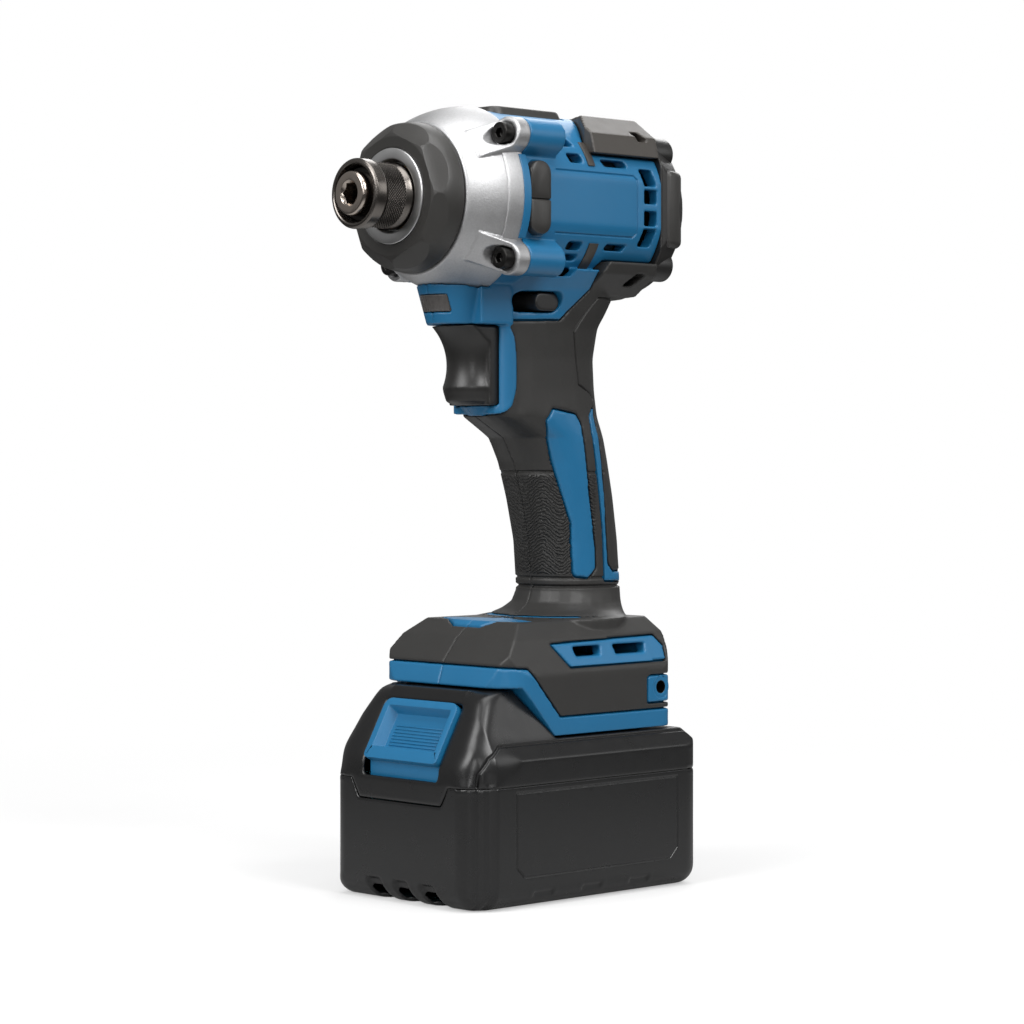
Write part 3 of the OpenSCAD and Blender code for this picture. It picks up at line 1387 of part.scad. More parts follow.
magnet_w = 11;
magnet_t = 2.4;
magnet_at = 7.4;
magnets = 4;
module magnet_shape(grow) for (k = [0 : magnets - 1]) rotate(90 * k)
  translate([magnet_at - grow, -magnet_w / 2 - grow]) square([magnet_t + 2 * grow, magnet_w + 2 * grow]);

module rotor_core() color("#6e7073") on_axis(stator_x) linear_extrude(stator_l) difference() {
  circle(rotor_r);
  circle(shaft_r + film);
  magnet_shape(run);
}
module rotor_magnets() color("#3c3d40") on_axis(stator_x) linear_extrude(stator_l) magnet_shape(0);

module motor_shaft() color("#9a9c9f") rod(cap_back + bearing_seat + slip, planet_x + gear_l, shaft_r);

fan_hub = 5;
fan_plate = 1.4;
fan_blades = 9;
blade_t = 1.2;
blade_in = 9;
fan_x = stator_x - coil_end - sensor_gap - sensor_t - fan_gap - fan_l;
module cooling_fan() color("#2e2e2e") difference() {
  union() {
    rod(fan_x, fan_x + fan_l, fan_hub);
    rod(fan_x + fan_l - fan_plate, fan_x + fan_l, fan_r);
    on_axis(fan_x) linear_extrude(fan_l) for (k = [0 : fan_blades - 1]) rotate(360 * k / fan_blades)
      translate([blade_in, -blade_t / 2]) square([fan_r - blade_in - blade_t, blade_t]);
  }
  rod(fan_x - cut, fan_x + fan_l + cut, shaft_r + film);
}

// Controls

trigger_fore = 13.5;
trigger_axis = 1;
finger_r = 19.7;
finger_at = 28.2;
finger_share = 0.5;
chin_r = 6.4;
chin_low_r = 8.6;
chin_low_share = 0.05;
chin_top_r = 9.5;
chin_share = 0.16;
cheek = 2.4;
spring_pocket_r = 3.4;
spring_pocket_l = 6;
trigger_spring_share = 0.5;
trigger_spring_z = trigger_low + trigger_h * trigger_spring_share;
trigger_x0 = trigger_back - trigger_in;
module trigger() color("#232323") difference() {
  union() {
    // finger rest, hollowed all round
    intersection() {
      translate([trigger_back + trigger_axis, 0, trigger_low]) rotate_extrude() difference() {
        polygon([
          [0, 0], [chin_r, 0], [chin_low_r, trigger_h * chin_low_share], [chin_top_r, trigger_h * chin_share],
          [trigger_fore, trigger_h], [0, trigger_h]
        ]);
        translate([finger_at, trigger_h * finger_share]) circle(finger_r);
      }
      block([trigger_back - trigger_in, -trigger_w / 2, trigger_low],
        [trigger_back + 2 * trigger_fore, trigger_w / 2, trigger_low + trigger_h]);
    }
    block([trigger_x0, -trigger_w / 2, trigger_low], [trigger_back + cheek, trigger_w / 2, trigger_low + trigger_h]);
  }
  translate([trigger_x0 - cut, 0, trigger_spring_z]) rotate([0, 90, 0])
    cylinder(spring_pocket_l + cut, spring_pocket_r, spring_pocket_r);
}

switch_w = 18;
switch_l = 18;
switch_gap = 0.6;
switch_front = trigger_x0 - trigger_travel - switch_gap;
module switch_body() color("#2b2b2b") block([switch_front - switch_l, -switch_w / 2, trigger_low + cut],
  [switch_front, switch_w / 2, roof_z - cut]);

trigger_wire = 0.4;
trigger_coil_r = 2.6;
trigger_turns = 6;
module trigger_spring() color("#b8bcc0") translate([switch_front + slip, 0, trigger_spring_z]) rotate([0, 90, 0])
  coil(trigger_coil_r, trigger_wire, trigger_turns, trigger_x0 + spring_pocket_l - switch_front - 2 * slip);

module direction_lever() color("#262626") side_view(2 * lever_half)
  lever_shape(lever_slot_l * lever_l_share, lever_slot_h, lever_play);

module led_lens() color("#c9ccd0") intersection() {
  guard(0);
  lamp_block(0);
}

board_edge = 0.7;
board_w = foot_w - 2 * (insert_l + wall - board_edge);
board_l = 40;
board_gap = 0.6;
module control_board() color("#2f6b3c")
  translate([foot_back + skin + wall + board_gap, -board_w / 2, hook_z + hook_boss_r + slip])
    cube([board_l, board_w, board_t]);

block_l = 26;
block_gap = 2.5;
block_w = foot_w - 2 * (insert_l + block_gap);
block_h = 5;
block_in = 5.5;
blade_l = 16;
blade_w = 1;
module terminal_block() color("#2b2b2b") {
  z = deck_z + rail_h + rail_play + slip;
  block([foot_back + block_in, -block_w / 2, z], [foot_back + block_in + block_l, block_w / 2, z + block_h]);
  for (y = [-terminal_y, terminal_y]) block([foot_back + block_in, y - blade_w / 2, deck_z + 2 * clip_t + 2 * slip],
    [foot_back + block_in + blade_l, y + blade_w / 2, z + cut]);
}

pack_tub();
pack_cover();
pack_button();
button_spring();
cells();
cell_frame_left();
cell_frame_right();
pack_board();
pack_terminals();
housing_left();
housing_right();
grip_cover_left();
grip_cover_right();
top_cover_left();
top_cover_right();
rear_cap();
rear_pad();
rear_cap_screws();
side_pads();
top_pad();
hook_inserts();
housing_screws();
gear_case();
gear_case_screws();
nose_bumper();
front_washer();
gear_cover();
anvil_bush();
stator_core();
stator_coils();
sensor_board();
front_bearing();
rear_bearing();
rotor_core();
rotor_magnets();
motor_shaft();
cooling_fan();
sun_pinion();
ring_gear();
planet_gear_1();
planet_gear_2();
planet_gear_3();
planet_pins();
spindle();
cam_balls();
hammer();
hammer_spring();
anvil();
lock_balls();
sleeve_spring();
sleeve_washer();
retaining_ring();
collet_sleeve();
trigger();
trigger_spring();
switch_body();
direction_lever();
led_lens();
control_board();
terminal_block();
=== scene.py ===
"""Looks of a cordless impact driver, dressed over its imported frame."""

import logging
import math
from contextlib import AbstractContextManager, contextmanager
from dataclasses import dataclass, field
from enum import Enum
from typing import Any, Callable, ClassVar, Iterator, Sequence

import bpy
import numpy as np
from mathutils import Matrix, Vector
from mathutils.kdtree import KDTree


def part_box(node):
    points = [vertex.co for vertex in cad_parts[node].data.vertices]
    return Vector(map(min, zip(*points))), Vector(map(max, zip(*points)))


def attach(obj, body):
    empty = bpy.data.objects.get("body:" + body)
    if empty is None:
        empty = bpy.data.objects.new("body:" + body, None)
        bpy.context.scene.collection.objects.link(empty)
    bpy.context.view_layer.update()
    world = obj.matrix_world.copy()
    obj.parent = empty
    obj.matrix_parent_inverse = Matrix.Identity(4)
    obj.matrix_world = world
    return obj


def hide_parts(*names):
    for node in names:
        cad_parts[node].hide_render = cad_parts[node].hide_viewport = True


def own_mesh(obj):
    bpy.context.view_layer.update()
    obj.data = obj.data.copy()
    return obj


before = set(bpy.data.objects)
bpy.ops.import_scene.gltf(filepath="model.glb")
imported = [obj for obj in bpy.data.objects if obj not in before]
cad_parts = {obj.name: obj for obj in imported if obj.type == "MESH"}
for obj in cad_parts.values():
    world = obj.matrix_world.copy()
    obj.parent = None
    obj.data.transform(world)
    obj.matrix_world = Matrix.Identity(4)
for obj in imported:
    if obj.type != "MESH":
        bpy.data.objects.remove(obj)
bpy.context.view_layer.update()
log = logging.getLogger("driver")

MM = 0.001
TINY = 1e-7
AXIS_Z = 227.5 * MM
ALONG_X = (0.0, math.pi / 2.0, 0.0)
ALONG_Y = (math.pi / 2.0, 0.0, 0.0)
FACING = 0.9

Piece = bpy.types.Object
Pair = tuple[float, float]
Point = tuple[float, float, float]
Colour = tuple[float, float, float]
Path = Sequence[Pair]
Test = Callable[[Vector, Vector], bool]


class Wire:
    """One shader value. Arithmetic on it adds Math nodes to its sheet."""

    def __init__(self, sheet: "Sheet", socket: bpy.types.NodeSocket) -> None:
        """Keeps the socket and the sheet that it belongs to."""
        self.sheet = sheet
        self.socket = socket

    def _math(self, operation: str, first: Any, second: Any = None) -> "Wire":
        """Adds one Math node.

        Args:
            operation: Name of the node's operation.
            first: First value, a number or a wire.
            second: Second value, where the operation takes one.

        Returns:
            The node's result.
        """
        sockets = {0: first} if second is None else {0: first, 1: second}
        return self.sheet.node("ShaderNodeMath", {"operation": operation}, sockets)

    def __add__(self, other: Any) -> "Wire":
        """Sum of two values."""
        return self._math("ADD", self, other)

    __radd__ = __add__

    def __sub__(self, other: Any) -> "Wire":
        """Difference of two values."""
        return self._math("SUBTRACT", self, other)

    def __rsub__(self, other: Any) -> "Wire":
        """Difference with the number first."""
        return self._math("SUBTRACT", other, self)

    def __mul__(self, other: Any) -> "Wire":
        """Product of two values."""
        return self._math("MULTIPLY", self, other)

    __rmul__ = __mul__

    def __gt__(self, other: Any) -> "Wire":
        """One where this value is the larger, else zero."""
        return self._math("GREATER_THAN", self, other)

    def __lt__(self, other: Any) -> "Wire":
        """One where this value is the smaller, else zero."""
        return self._math("LESS_THAN", self, other)

    def sine(self) -> "Wire":
        """Sine of the value, in radians."""
        return self._math("SINE", self)

    def between(self, low: float, high: float) -> "Wire":
        """Smooth step from zero at low to one at high.

        Args:
            low: Value where the step starts.
            high: Value where the step ends.

        Returns:
            The step.
        """
        sockets = {"Value": self, "From Min": low, "From Max": high}
        return self.sheet.node("ShaderNodeMapRange", {"interpolation_type": "SMOOTHSTEP"}, sockets)


class Sheet:
    """Node sheet of one material."""

    def __init__(self, name: str) -> None:
        """Makes a material with one principled shader.

        Args:
            name: Name of the material.
        """
        self.material = bpy.data.materials.new(name)
        self.material.use_nodes = True
        self.tree = self.material.node_tree
        self.shader = next(n for n in self.tree.nodes if n.type == "BSDF_PRINCIPLED")

    def link(self, value: Any, socket: bpy.types.NodeSocket) -> None:
        """Puts a number, a colour or a wire on a socket.

        Args:
            value: Number, colour or wire.
            socket: Socket that takes it.
        """
        if isinstance(value, Wire):
            self.tree.links.new(value.socket, socket)
        elif isinstance(value, tuple) and len(value) == 3 and socket.type == "RGBA":
            socket.default_value = (*value, 1.0)
        else:
            socket.default_value = value

    def node(self, kind: str, settings: dict[str, Any] | None = None, sockets: dict[Any, Any] | None = None,
             out: int | str = 0) -> Wire:
        """Adds any node.

        Args:
            kind: Blender's name of the node type.
            settings: The node's own settings, set before its sockets.
            sockets: Values or wires of its inputs, by name or place.
            out: Name or place of the output to return.

        Returns:
            The chosen output.
        """
        made = self.tree.nodes.new(kind)
        for key, value in (settings or {}).items():
            setattr(made, key, value)
        for key, value in (sockets or {}).items():
            self.link(value, made.inputs[key])
        return Wire(self, made.outputs[out])

    def place(self, stretch: Point = (1.0, 1.0, 1.0)) -> Wire:
        """Object coordinates, stretched along each axis."""
        at = self.node("ShaderNodeTexCoord", out="Object")
        return self.node("ShaderNodeMapping", {}, {"Vector": at, "Scale": stretch})

    def axis(self, name: str) -> Wire:
        """One object coordinate in metres: X, Y or Z."""
        at = self.node("ShaderNodeTexCoord", out="Object")
        return self.node("ShaderNodeSeparateXYZ", {}, {0: at}, name)

    def noise(self, size: float, detail: float = 2.0, stretch: Point = (1.0, 1.0, 1.0),
              rough: float = 0.5) -> Wire:
        """Cloudy noise.

        Args:
            size: Size of the clouds in metres.
            detail: How many finer layers are added.
            stretch: Scale along each axis.
            rough: Strength of the finer layers.

        Returns:
            A value from zero to one.
        """
        sockets = {"Vector": self.place(stretch), "Scale": 1.0 / size, "Detail": detail, "Roughness": rough}
        return self.node("ShaderNodeTexNoise", {}, sockets)

    def cells(self, size: float, feature: str = "F1") -> Wire:
        """Distance pattern of scattered cells of the given size in metres."""
        sockets = {"Vector": self.place(), "Scale": 1.0 / size}
        return self.node("ShaderNodeTexVoronoi", {"feature": feature}, sockets)

    def mix(self, factor: Any, first: Any, second: Any) -> Wire:
        """Blend of two colours."""
        return self.node("ShaderNodeMixRGB", {}, {"Fac": factor, "Color1": first, "Color2": second})

    def soft_edges(self, radius: float) -> Wire:
        """Normal that rounds the edges by a radius in metres."""
        return self.node("ShaderNodeBevel", {"samples": 4}, {"Radius": radius})

    def bump(self, height: Wire, depth: float, normal: Wire | None = None) -> Wire:
        """Normal raised by a height pattern.

        Args:
            height: Pattern from zero to one.
            depth: Height of the pattern in metres.
            normal: Normal below the pattern.

        Returns:
            The new normal.
        """
        sockets = {"Height": height, "Distance": depth, "Strength": 1.0}
        if normal is not None:
            sockets["Normal"] = normal
        return self.node("ShaderNodeBump", {}, sockets)

    def finish(self, **sockets: Any) -> bpy.types.Material:
        """Sets the shader's sockets by name, with _ for a space.

        Args:
            sockets: Numbers, colours or wires.

        Returns:
            The material.
        """
        for key, value in sockets.items():
            self.link(value, self.shader.inputs[key.replace("_", " ")])
        return self.material


@dataclass(frozen=True)
class Finish:
    """Surface of a piece and the name of its slot, which stays empty where none is given."""

    name: str
    colour: Colour
    roughness: float
    slot: str = ""
    made: ClassVar[dict[str, bpy.types.Material]] = {}

    def material(self) -> bpy.types.Material:
        """Material of this finish, made once.

        Returns:
            The material.
        """
        if self.name not in self.made:
            self.made[self.name] = self.draw(Sheet(self.name))
        return self.made[self.name]

    def draw(self, sheet: Sheet) -> bpy.types.Material:
        """Draws the finish on its sheet."""
        raise NotImplementedError

    def tints(self, sheet: Sheet, spread: float, size: float) -> Wire:
        """Base colour that clouds a little darker and lighter.

        Args:
            sheet: Sheet to draw on.
            spread: Share that the colour moves.
            size: Size of the clouds in metres.

        Returns:
            The colour.
        """
        return sheet.mix(sheet.noise(size, 3.0), self.shade(1.0 - spread), self.shade(1.0 + spread))

    def shade(self, factor: float, lift: float = 0.0) -> Colour:
        """Colour multiplied by a factor and lifted."""
        return tuple(min(1.0, c * factor + lift) for c in self.colour)


@dataclass(frozen=True)
class Moulded(Finish):
    """Injection moulded plastic with a fine spark-eroded grain."""

    grain: float = 0.45 * MM
    depth: float = 0.012 * MM
    edge: float = 0.25 * MM
    wear_and_highlight: float = 0.12

    def draw(self, sheet: Sheet) -> bpy.types.Material:
        """Draws satin plastic with a grain and slightly lighter edges, partly rubbed wear and partly painted
        highlight.

        Args:
            sheet: Sheet to draw on.

        Returns:
            The finished material.
        """
        soft = sheet.soft_edges(self.edge)
        grain = sheet.noise(self.grain, 2.0) * 0.7 + sheet.cells(self.grain * 0.8) * 0.3
        tint = self.tints(sheet, 0.05, 9.0 * MM)
        # Convex edges are painted lighter: partly rubbed wear, partly painted highlight along the corners.
        crest = sheet.node("ShaderNodeNewGeometry", out="Pointiness").between(0.52, 0.6)
        rub_and_highlight_tone = self.shade(1.35, 0.012)
        rub_and_highlight = sheet.noise(3.0 * MM, 2.0) * crest * self.wear_and_highlight
        rough = sheet.noise(6.0 * MM, 3.0) * 0.12 + (self.roughness - 0.06)
        return sheet.finish(Base_Color=sheet.mix(rub_and_highlight, tint, rub_and_highlight_tone), Roughness=rough,
                            Normal=sheet.bump(grain, self.depth, soft), Specular_IOR_Level=0.5)


@dataclass(frozen=True)
class GripRubber(Finish):
    """Soft overmould with a wrinkled hide texture on the front of the grip."""

    low: float = 104.2 * MM
    high: float = 138.0 * MM
    back: float = -22.0 * MM
    wrinkle: float = 1.2 * MM
    weave: float = 17.0 * MM
    sway: float = 1.9 * MM
    fade: float = 1.2 * MM

    def draw(self, sheet: Sheet) -> bpy.types.Material:
        """Draws matte rubber, with the hide texture between two heights and painted shade in the hollows of
        the hide.

        Args:
            sheet: Sheet to draw on.

        Returns:
            The finished material.
        """
        soft = sheet.soft_edges(0.3 * MM)
        fine = sheet.noise(0.35 * MM, 2.0)
        height = sheet.axis("Z")
        above = height.between(self.low, self.low + self.fade)
        below = 1.0 - height.between(self.high - self.fade, self.high)
        zone = above * below * sheet.axis("X").between(self.back, self.back + 2.0 * MM)
        round_grip = sheet.axis("Y") - sheet.axis("X")
        wander = (round_grip * (math.tau / self.weave)).sine() * self.sway
        wander = wander + sheet.noise(1.7 * MM, 2.0) * (2.3 * MM)
        hide = ((height + wander) * (math.tau / self.wrinkle)).sine().between(-0.8, 0.5)
        under = sheet.bump(hide * zone, 0.5 * MM, soft)
        tint = self.tints(sheet, 0.08, 14.0 * MM)
        # Painted shade: the hollows of the hide texture are darkened in colour.
        tint = sheet.mix(zone * (1.0 - hide) * 0.9, tint, self.shade(0.3))
        dust = sheet.noise(2.2 * MM, 4.0).between(0.58, 0.8) * 0.12
        pale = self.shade(1.7, 0.01)
        rough = sheet.noise(5.0 * MM, 3.0) * 0.14 + (self.roughness - 0.07)
        return sheet.finish(Base_Color=sheet.mix(dust, tint, pale), Roughness=rough,
                            Normal=sheet.bump(fine, 0.02 * MM, under), Specular_IOR_Level=0.42)


@dataclass(frozen=True)
class CastMetal(Finish):
    """Bead blasted casting."""

    def draw(self, sheet: Sheet) -> bpy.types.Material:
        """Draws a speckled matte metal.

        Args:
            sheet: Sheet to draw on.

        Returns:
            The finished material.
        """
        speck = sheet.noise(0.5 * MM, 3.0, rough=0.65)
        cloud = sheet.noise(4.0 * MM, 3.0)
        tint = self.tints(sheet, 0.16, 0.6 * MM)
        rough = cloud * 0.12 + speck * 0.1 + (self.roughness - 0.11)
        normal = sheet.bump(speck, 0.07 * MM, sheet.soft_edges(0.3 * MM))
        return sheet.finish(Base_Color=tint, Metallic=1.0, Roughness=rough, Normal=normal)


@dataclass(frozen=True)
class TurnedMetal(Finish):
    """Lathe turned and polished metal with fine turning marks round the drive axis."""

    mark: float = 0.12 * MM
    depth: float = 0.0015 * MM

    def draw(self, sheet: Sheet) -> bpy.types.Material:
        """Draws metal with rings along the axis.

        Args:
            sheet: Sheet to draw on.

        Returns:
            The finished material.
        """
        rings = sheet.noise(self.mark, 2.0, (1.0, 0.02, 0.02))
        smear = sheet.noise(5.0 * MM, 3.0)
        rough = rings * 0.06 + smear * 0.1 + (self.roughness - 0.08)
        normal = sheet.bump(rings, self.depth, sheet.soft_edges(0.15 * MM))
        return sheet.finish(Base_Color=self.toned(sheet), Metallic=1.0, Roughness=rough, Normal=normal)

    def toned(self, sheet: Sheet) -> Wire:
        """Draws the colour of the bare metal."""
        return self.tints(sheet, 0.06, 3.0 * MM)


@dataclass(frozen=True)
class KnurledMetal(TurnedMetal):
    """Turned metal with a knurled band, whose hollows carry painted shade."""

    low: float = 57.9 * MM
    high: float = 65.7 * MM
    hollow: float = 10.2 * MM
    tip: float = 10.58 * MM

    def toned(self, sheet: Sheet) -> Wire:
        """Paints shade into the hollows of the band.

        Args:
            sheet: Sheet to draw on.

        Returns:
            The colour.
        """
        along, across, up = sheet.axis("X"), sheet.axis("Y"), sheet.axis("Z") - AXIS_Z
        raised = (across * across + up * up).between(self.hollow ** 2, self.tip ** 2)
        band = (along > self.low) * (along < self.high)
        # Painted shade: the hollows of the knurl are darkened in colour.
        return sheet.mix(band * (1.0 - raised), super().toned(sheet), self.shade(0.06))


@dataclass(frozen=True)
class Oxide(Finish):
    """Blackened steel."""

    def draw(self, sheet: Sheet) -> bpy.types.Material:
        """Draws a dark, slightly oily metal.

        Args:
            sheet: Sheet to draw on.

        Returns:
            The finished material.
        """
        speck = sheet.noise(0.4 * MM, 3.0)
        rough = sheet.noise(1.5 * MM, 2.0) * 0.2 + (self.roughness - 0.1)
        return sheet.finish(Base_Color=self.tints(sheet, 0.2, 0.8 * MM), Metallic=0.85, Roughness=rough,
                            Normal=sheet.bump(speck, 0.008 * MM, sheet.soft_edges(0.2 * MM)))


@dataclass(frozen=True)
class Clear(Finish):
    """Clear moulded window with fine light-spreading ribs."""

    def draw(self, sheet: Sheet) -> bpy.types.Material:
        """Draws a smoky clear plastic.

        Args:
            sheet: Sheet to draw on.

        Returns:
            The finished material.
        """
        ribs = (sheet.axis("Y") * (math.tau / (1.3 * MM))).sine() * 0.5 + 0.5
        tint = sheet.mix(sheet.noise(1.6 * MM, 2.0), self.colour, self.shade(0.6))
        return sheet.finish(Base_Color=tint, Roughness=sheet.noise(2.0 * MM) * 0.1 + self.roughness,
                            Transmission_Weight=0.35, IOR=1.49, Normal=sheet.bump(ribs, 0.05 * MM))


@dataclass(frozen=True)
class Wound(Finish):
    """Enamelled winding: close turns of wire."""

    def draw(self, sheet: Sheet) -> bpy.types.Material:
        """Draws rows of copper wire, with painted shade between the turns.

        Args:
            sheet: Sheet to draw on.

        Returns:
            The finished material.
        """
        turns = (sheet.axis("X") * (math.tau / (0.9 * MM))).sine() * 0.5 + 0.5
        # Painted shade: the troughs between the turns are darkened in colour.
        return sheet.finish(Base_Color=sheet.mix(turns, self.shade(0.4), self.colour), Metallic=0.9,
                            Roughness=turns * 0.1 + self.roughness, Normal=sheet.bump(turns, 0.2 * MM))


@dataclass(frozen=True)
class Board(Finish):
    """Circuit board with tracks under its mask."""

    def draw(self, sheet: Sheet) -> bpy.types.Material:
        """Draws a solder mask with faint tracks.

        Args:
            sheet: Sheet to draw on.

        Returns:
            The finished material.
        """
        tracks = sheet.cells(2.4 * MM, "DISTANCE_TO_EDGE").between(0.02, 0.06)
        light = self.shade(1.7, 0.02)
        return sheet.finish(Base_Color=sheet.mix(tracks, light, self.colour),
                            Roughness=tracks * 0.1 + self.roughness, Normal=sheet.bump(tracks, 0.04 * MM))


class Finishes(Enum):
    """Every finish of the driver."""

    BLUE = Moulded("blue_plastic", (0.008, 0.124, 0.266), 0.40)
    PACK = Moulded("pack_plastic", (0.0065, 0.0065, 0.0067), 0.29, depth=0.004 * MM)
    CAP = Moulded("cap_plastic", (0.014, 0.0135, 0.013), 0.36)
    GRIP = GripRubber("grip_rubber", (0.025, 0.0242, 0.023), 0.48)
    # Grip rubber painted lighter and warmer for the top covers and their arms: painted light from the lamps
    # above.
    COVER = Moulded("top_lit_rubber", (0.042, 0.037, 0.032), 0.44, "grip_rubber", depth=0.02 * MM)
    PAD = Moulded("pad_rubber", (0.028, 0.0268, 0.025), 0.42, depth=0.02 * MM)
    CASTING = CastMetal("cast_aluminium", (0.47, 0.47, 0.475), 0.48)
    BRIGHT = TurnedMetal("ground_steel", (0.56, 0.56, 0.56), 0.36, "steel")
    DARK = TurnedMetal("dark_steel", (0.13, 0.118, 0.108), 0.24)
    KNURLED = KnurledMetal("knurled_steel", (0.17, 0.155, 0.142), 0.26, "dark_steel")
    NOSE = TurnedMetal("polished_steel", (0.44, 0.385, 0.34), 0.2, "dark_steel")
    SPRING = TurnedMetal("spring_steel", (0.42, 0.42, 0.43), 0.3)
    SINTERED = CastMetal("sintered_steel", (0.24, 0.24, 0.24), 0.5)
    MAGNET = CastMetal("magnet", (0.4, 0.4, 0.41), 0.35)
    BRONZE = TurnedMetal("bronze", (0.5, 0.32, 0.14), 0.4)
    BRASS = TurnedMetal("tinned_brass", (0.62, 0.56, 0.42), 0.3)
    COPPER = Wound("copper", (0.62, 0.26, 0.11), 0.35)
    OXIDE = Oxide("black_oxide", (0.022, 0.021, 0.02), 0.36, "black_steel")
    BOARD = Board("board", (0.012, 0.09, 0.04), 0.4)
    INNER = Moulded("inner_plastic", (0.05, 0.05, 0.052), 0.5)
    FRAME = Moulded("frame_plastic", (0.4, 0.4, 0.38), 0.5)
    CELL = Moulded("cell_can", (0.06, 0.24, 0.27), 0.32, grain=1.5 * MM, depth=0.004 * MM)
    LENS = Clear("lens", (0.16, 0.15, 0.145), 0.1)


NODE_FINISH: dict[Finishes, tuple[str, ...]] = {
    Finishes.BLUE: ("housing_left", "housing_right", "pack_button"),
    Finishes.PACK: ("pack_tub", "pack_cover"),
    Finishes.CAP: ("rear_cap", "trigger", "direction_lever"),
    Finishes.GRIP: ("grip_cover_left", "grip_cover_right"),
    Finishes.COVER: ("top_cover_left", "top_cover_right"),
    Finishes.PAD: ("rear_pad", "side_pads", "top_pad", "nose_bumper"),
    Finishes.CASTING: ("gear_case",),
    Finishes.BRIGHT: ("front_washer", "front_bearing", "rear_bearing", "motor_shaft", "sun_pinion",
                      "planet_pins", "spindle", "cam_balls", "lock_balls"),
    Finishes.DARK: ("anvil", "collet_sleeve"),
    Finishes.SPRING: ("button_spring", "hammer_spring", "sleeve_spring", "trigger_spring"),
    Finishes.SINTERED: ("stator_core", "rotor_core", "ring_gear", "planet_gear_1", "planet_gear_2",
                        "planet_gear_3", "hammer"),
    Finishes.MAGNET: ("rotor_magnets",),
    Finishes.BRONZE: ("anvil_bush",),
    Finishes.BRASS: ("pack_terminals",),
    Finishes.COPPER: ("stator_coils",),
    Finishes.OXIDE: ("gear_case_screws", "rear_cap_screws", "housing_screws", "hook_inserts", "sleeve_washer",
                     "retaining_ring"),
    Finishes.BOARD: ("sensor_board", "pack_board", "control_board"),
    Finishes.INNER: ("gear_cover", "cooling_fan", "switch_body", "terminal_block"),
    Finishes.FRAME: ("cell_frame_left", "cell_frame_right"),
    Finishes.CELL: ("cells",),
    Finishes.LENS: ("led_lens",),
}


def upright(a: Vector, b: Vector) -> bool:
    """True for an edge that climbs by more than a millimetre."""
    return abs(a.z - b.z) > MM


def off_axis(place: Vector) -> float:
    """Distance of a place from the drive axis."""
    return math.hypot(place.y, place.z - AXIS_Z)


def eased(share: np.ndarray) -> np.ndarray:
    """Shares held between zero and one, with a soft start and end."""
    share = np.clip(share, 0.0, 1.0)
    return share * share * (3.0 - 2.0 * share)


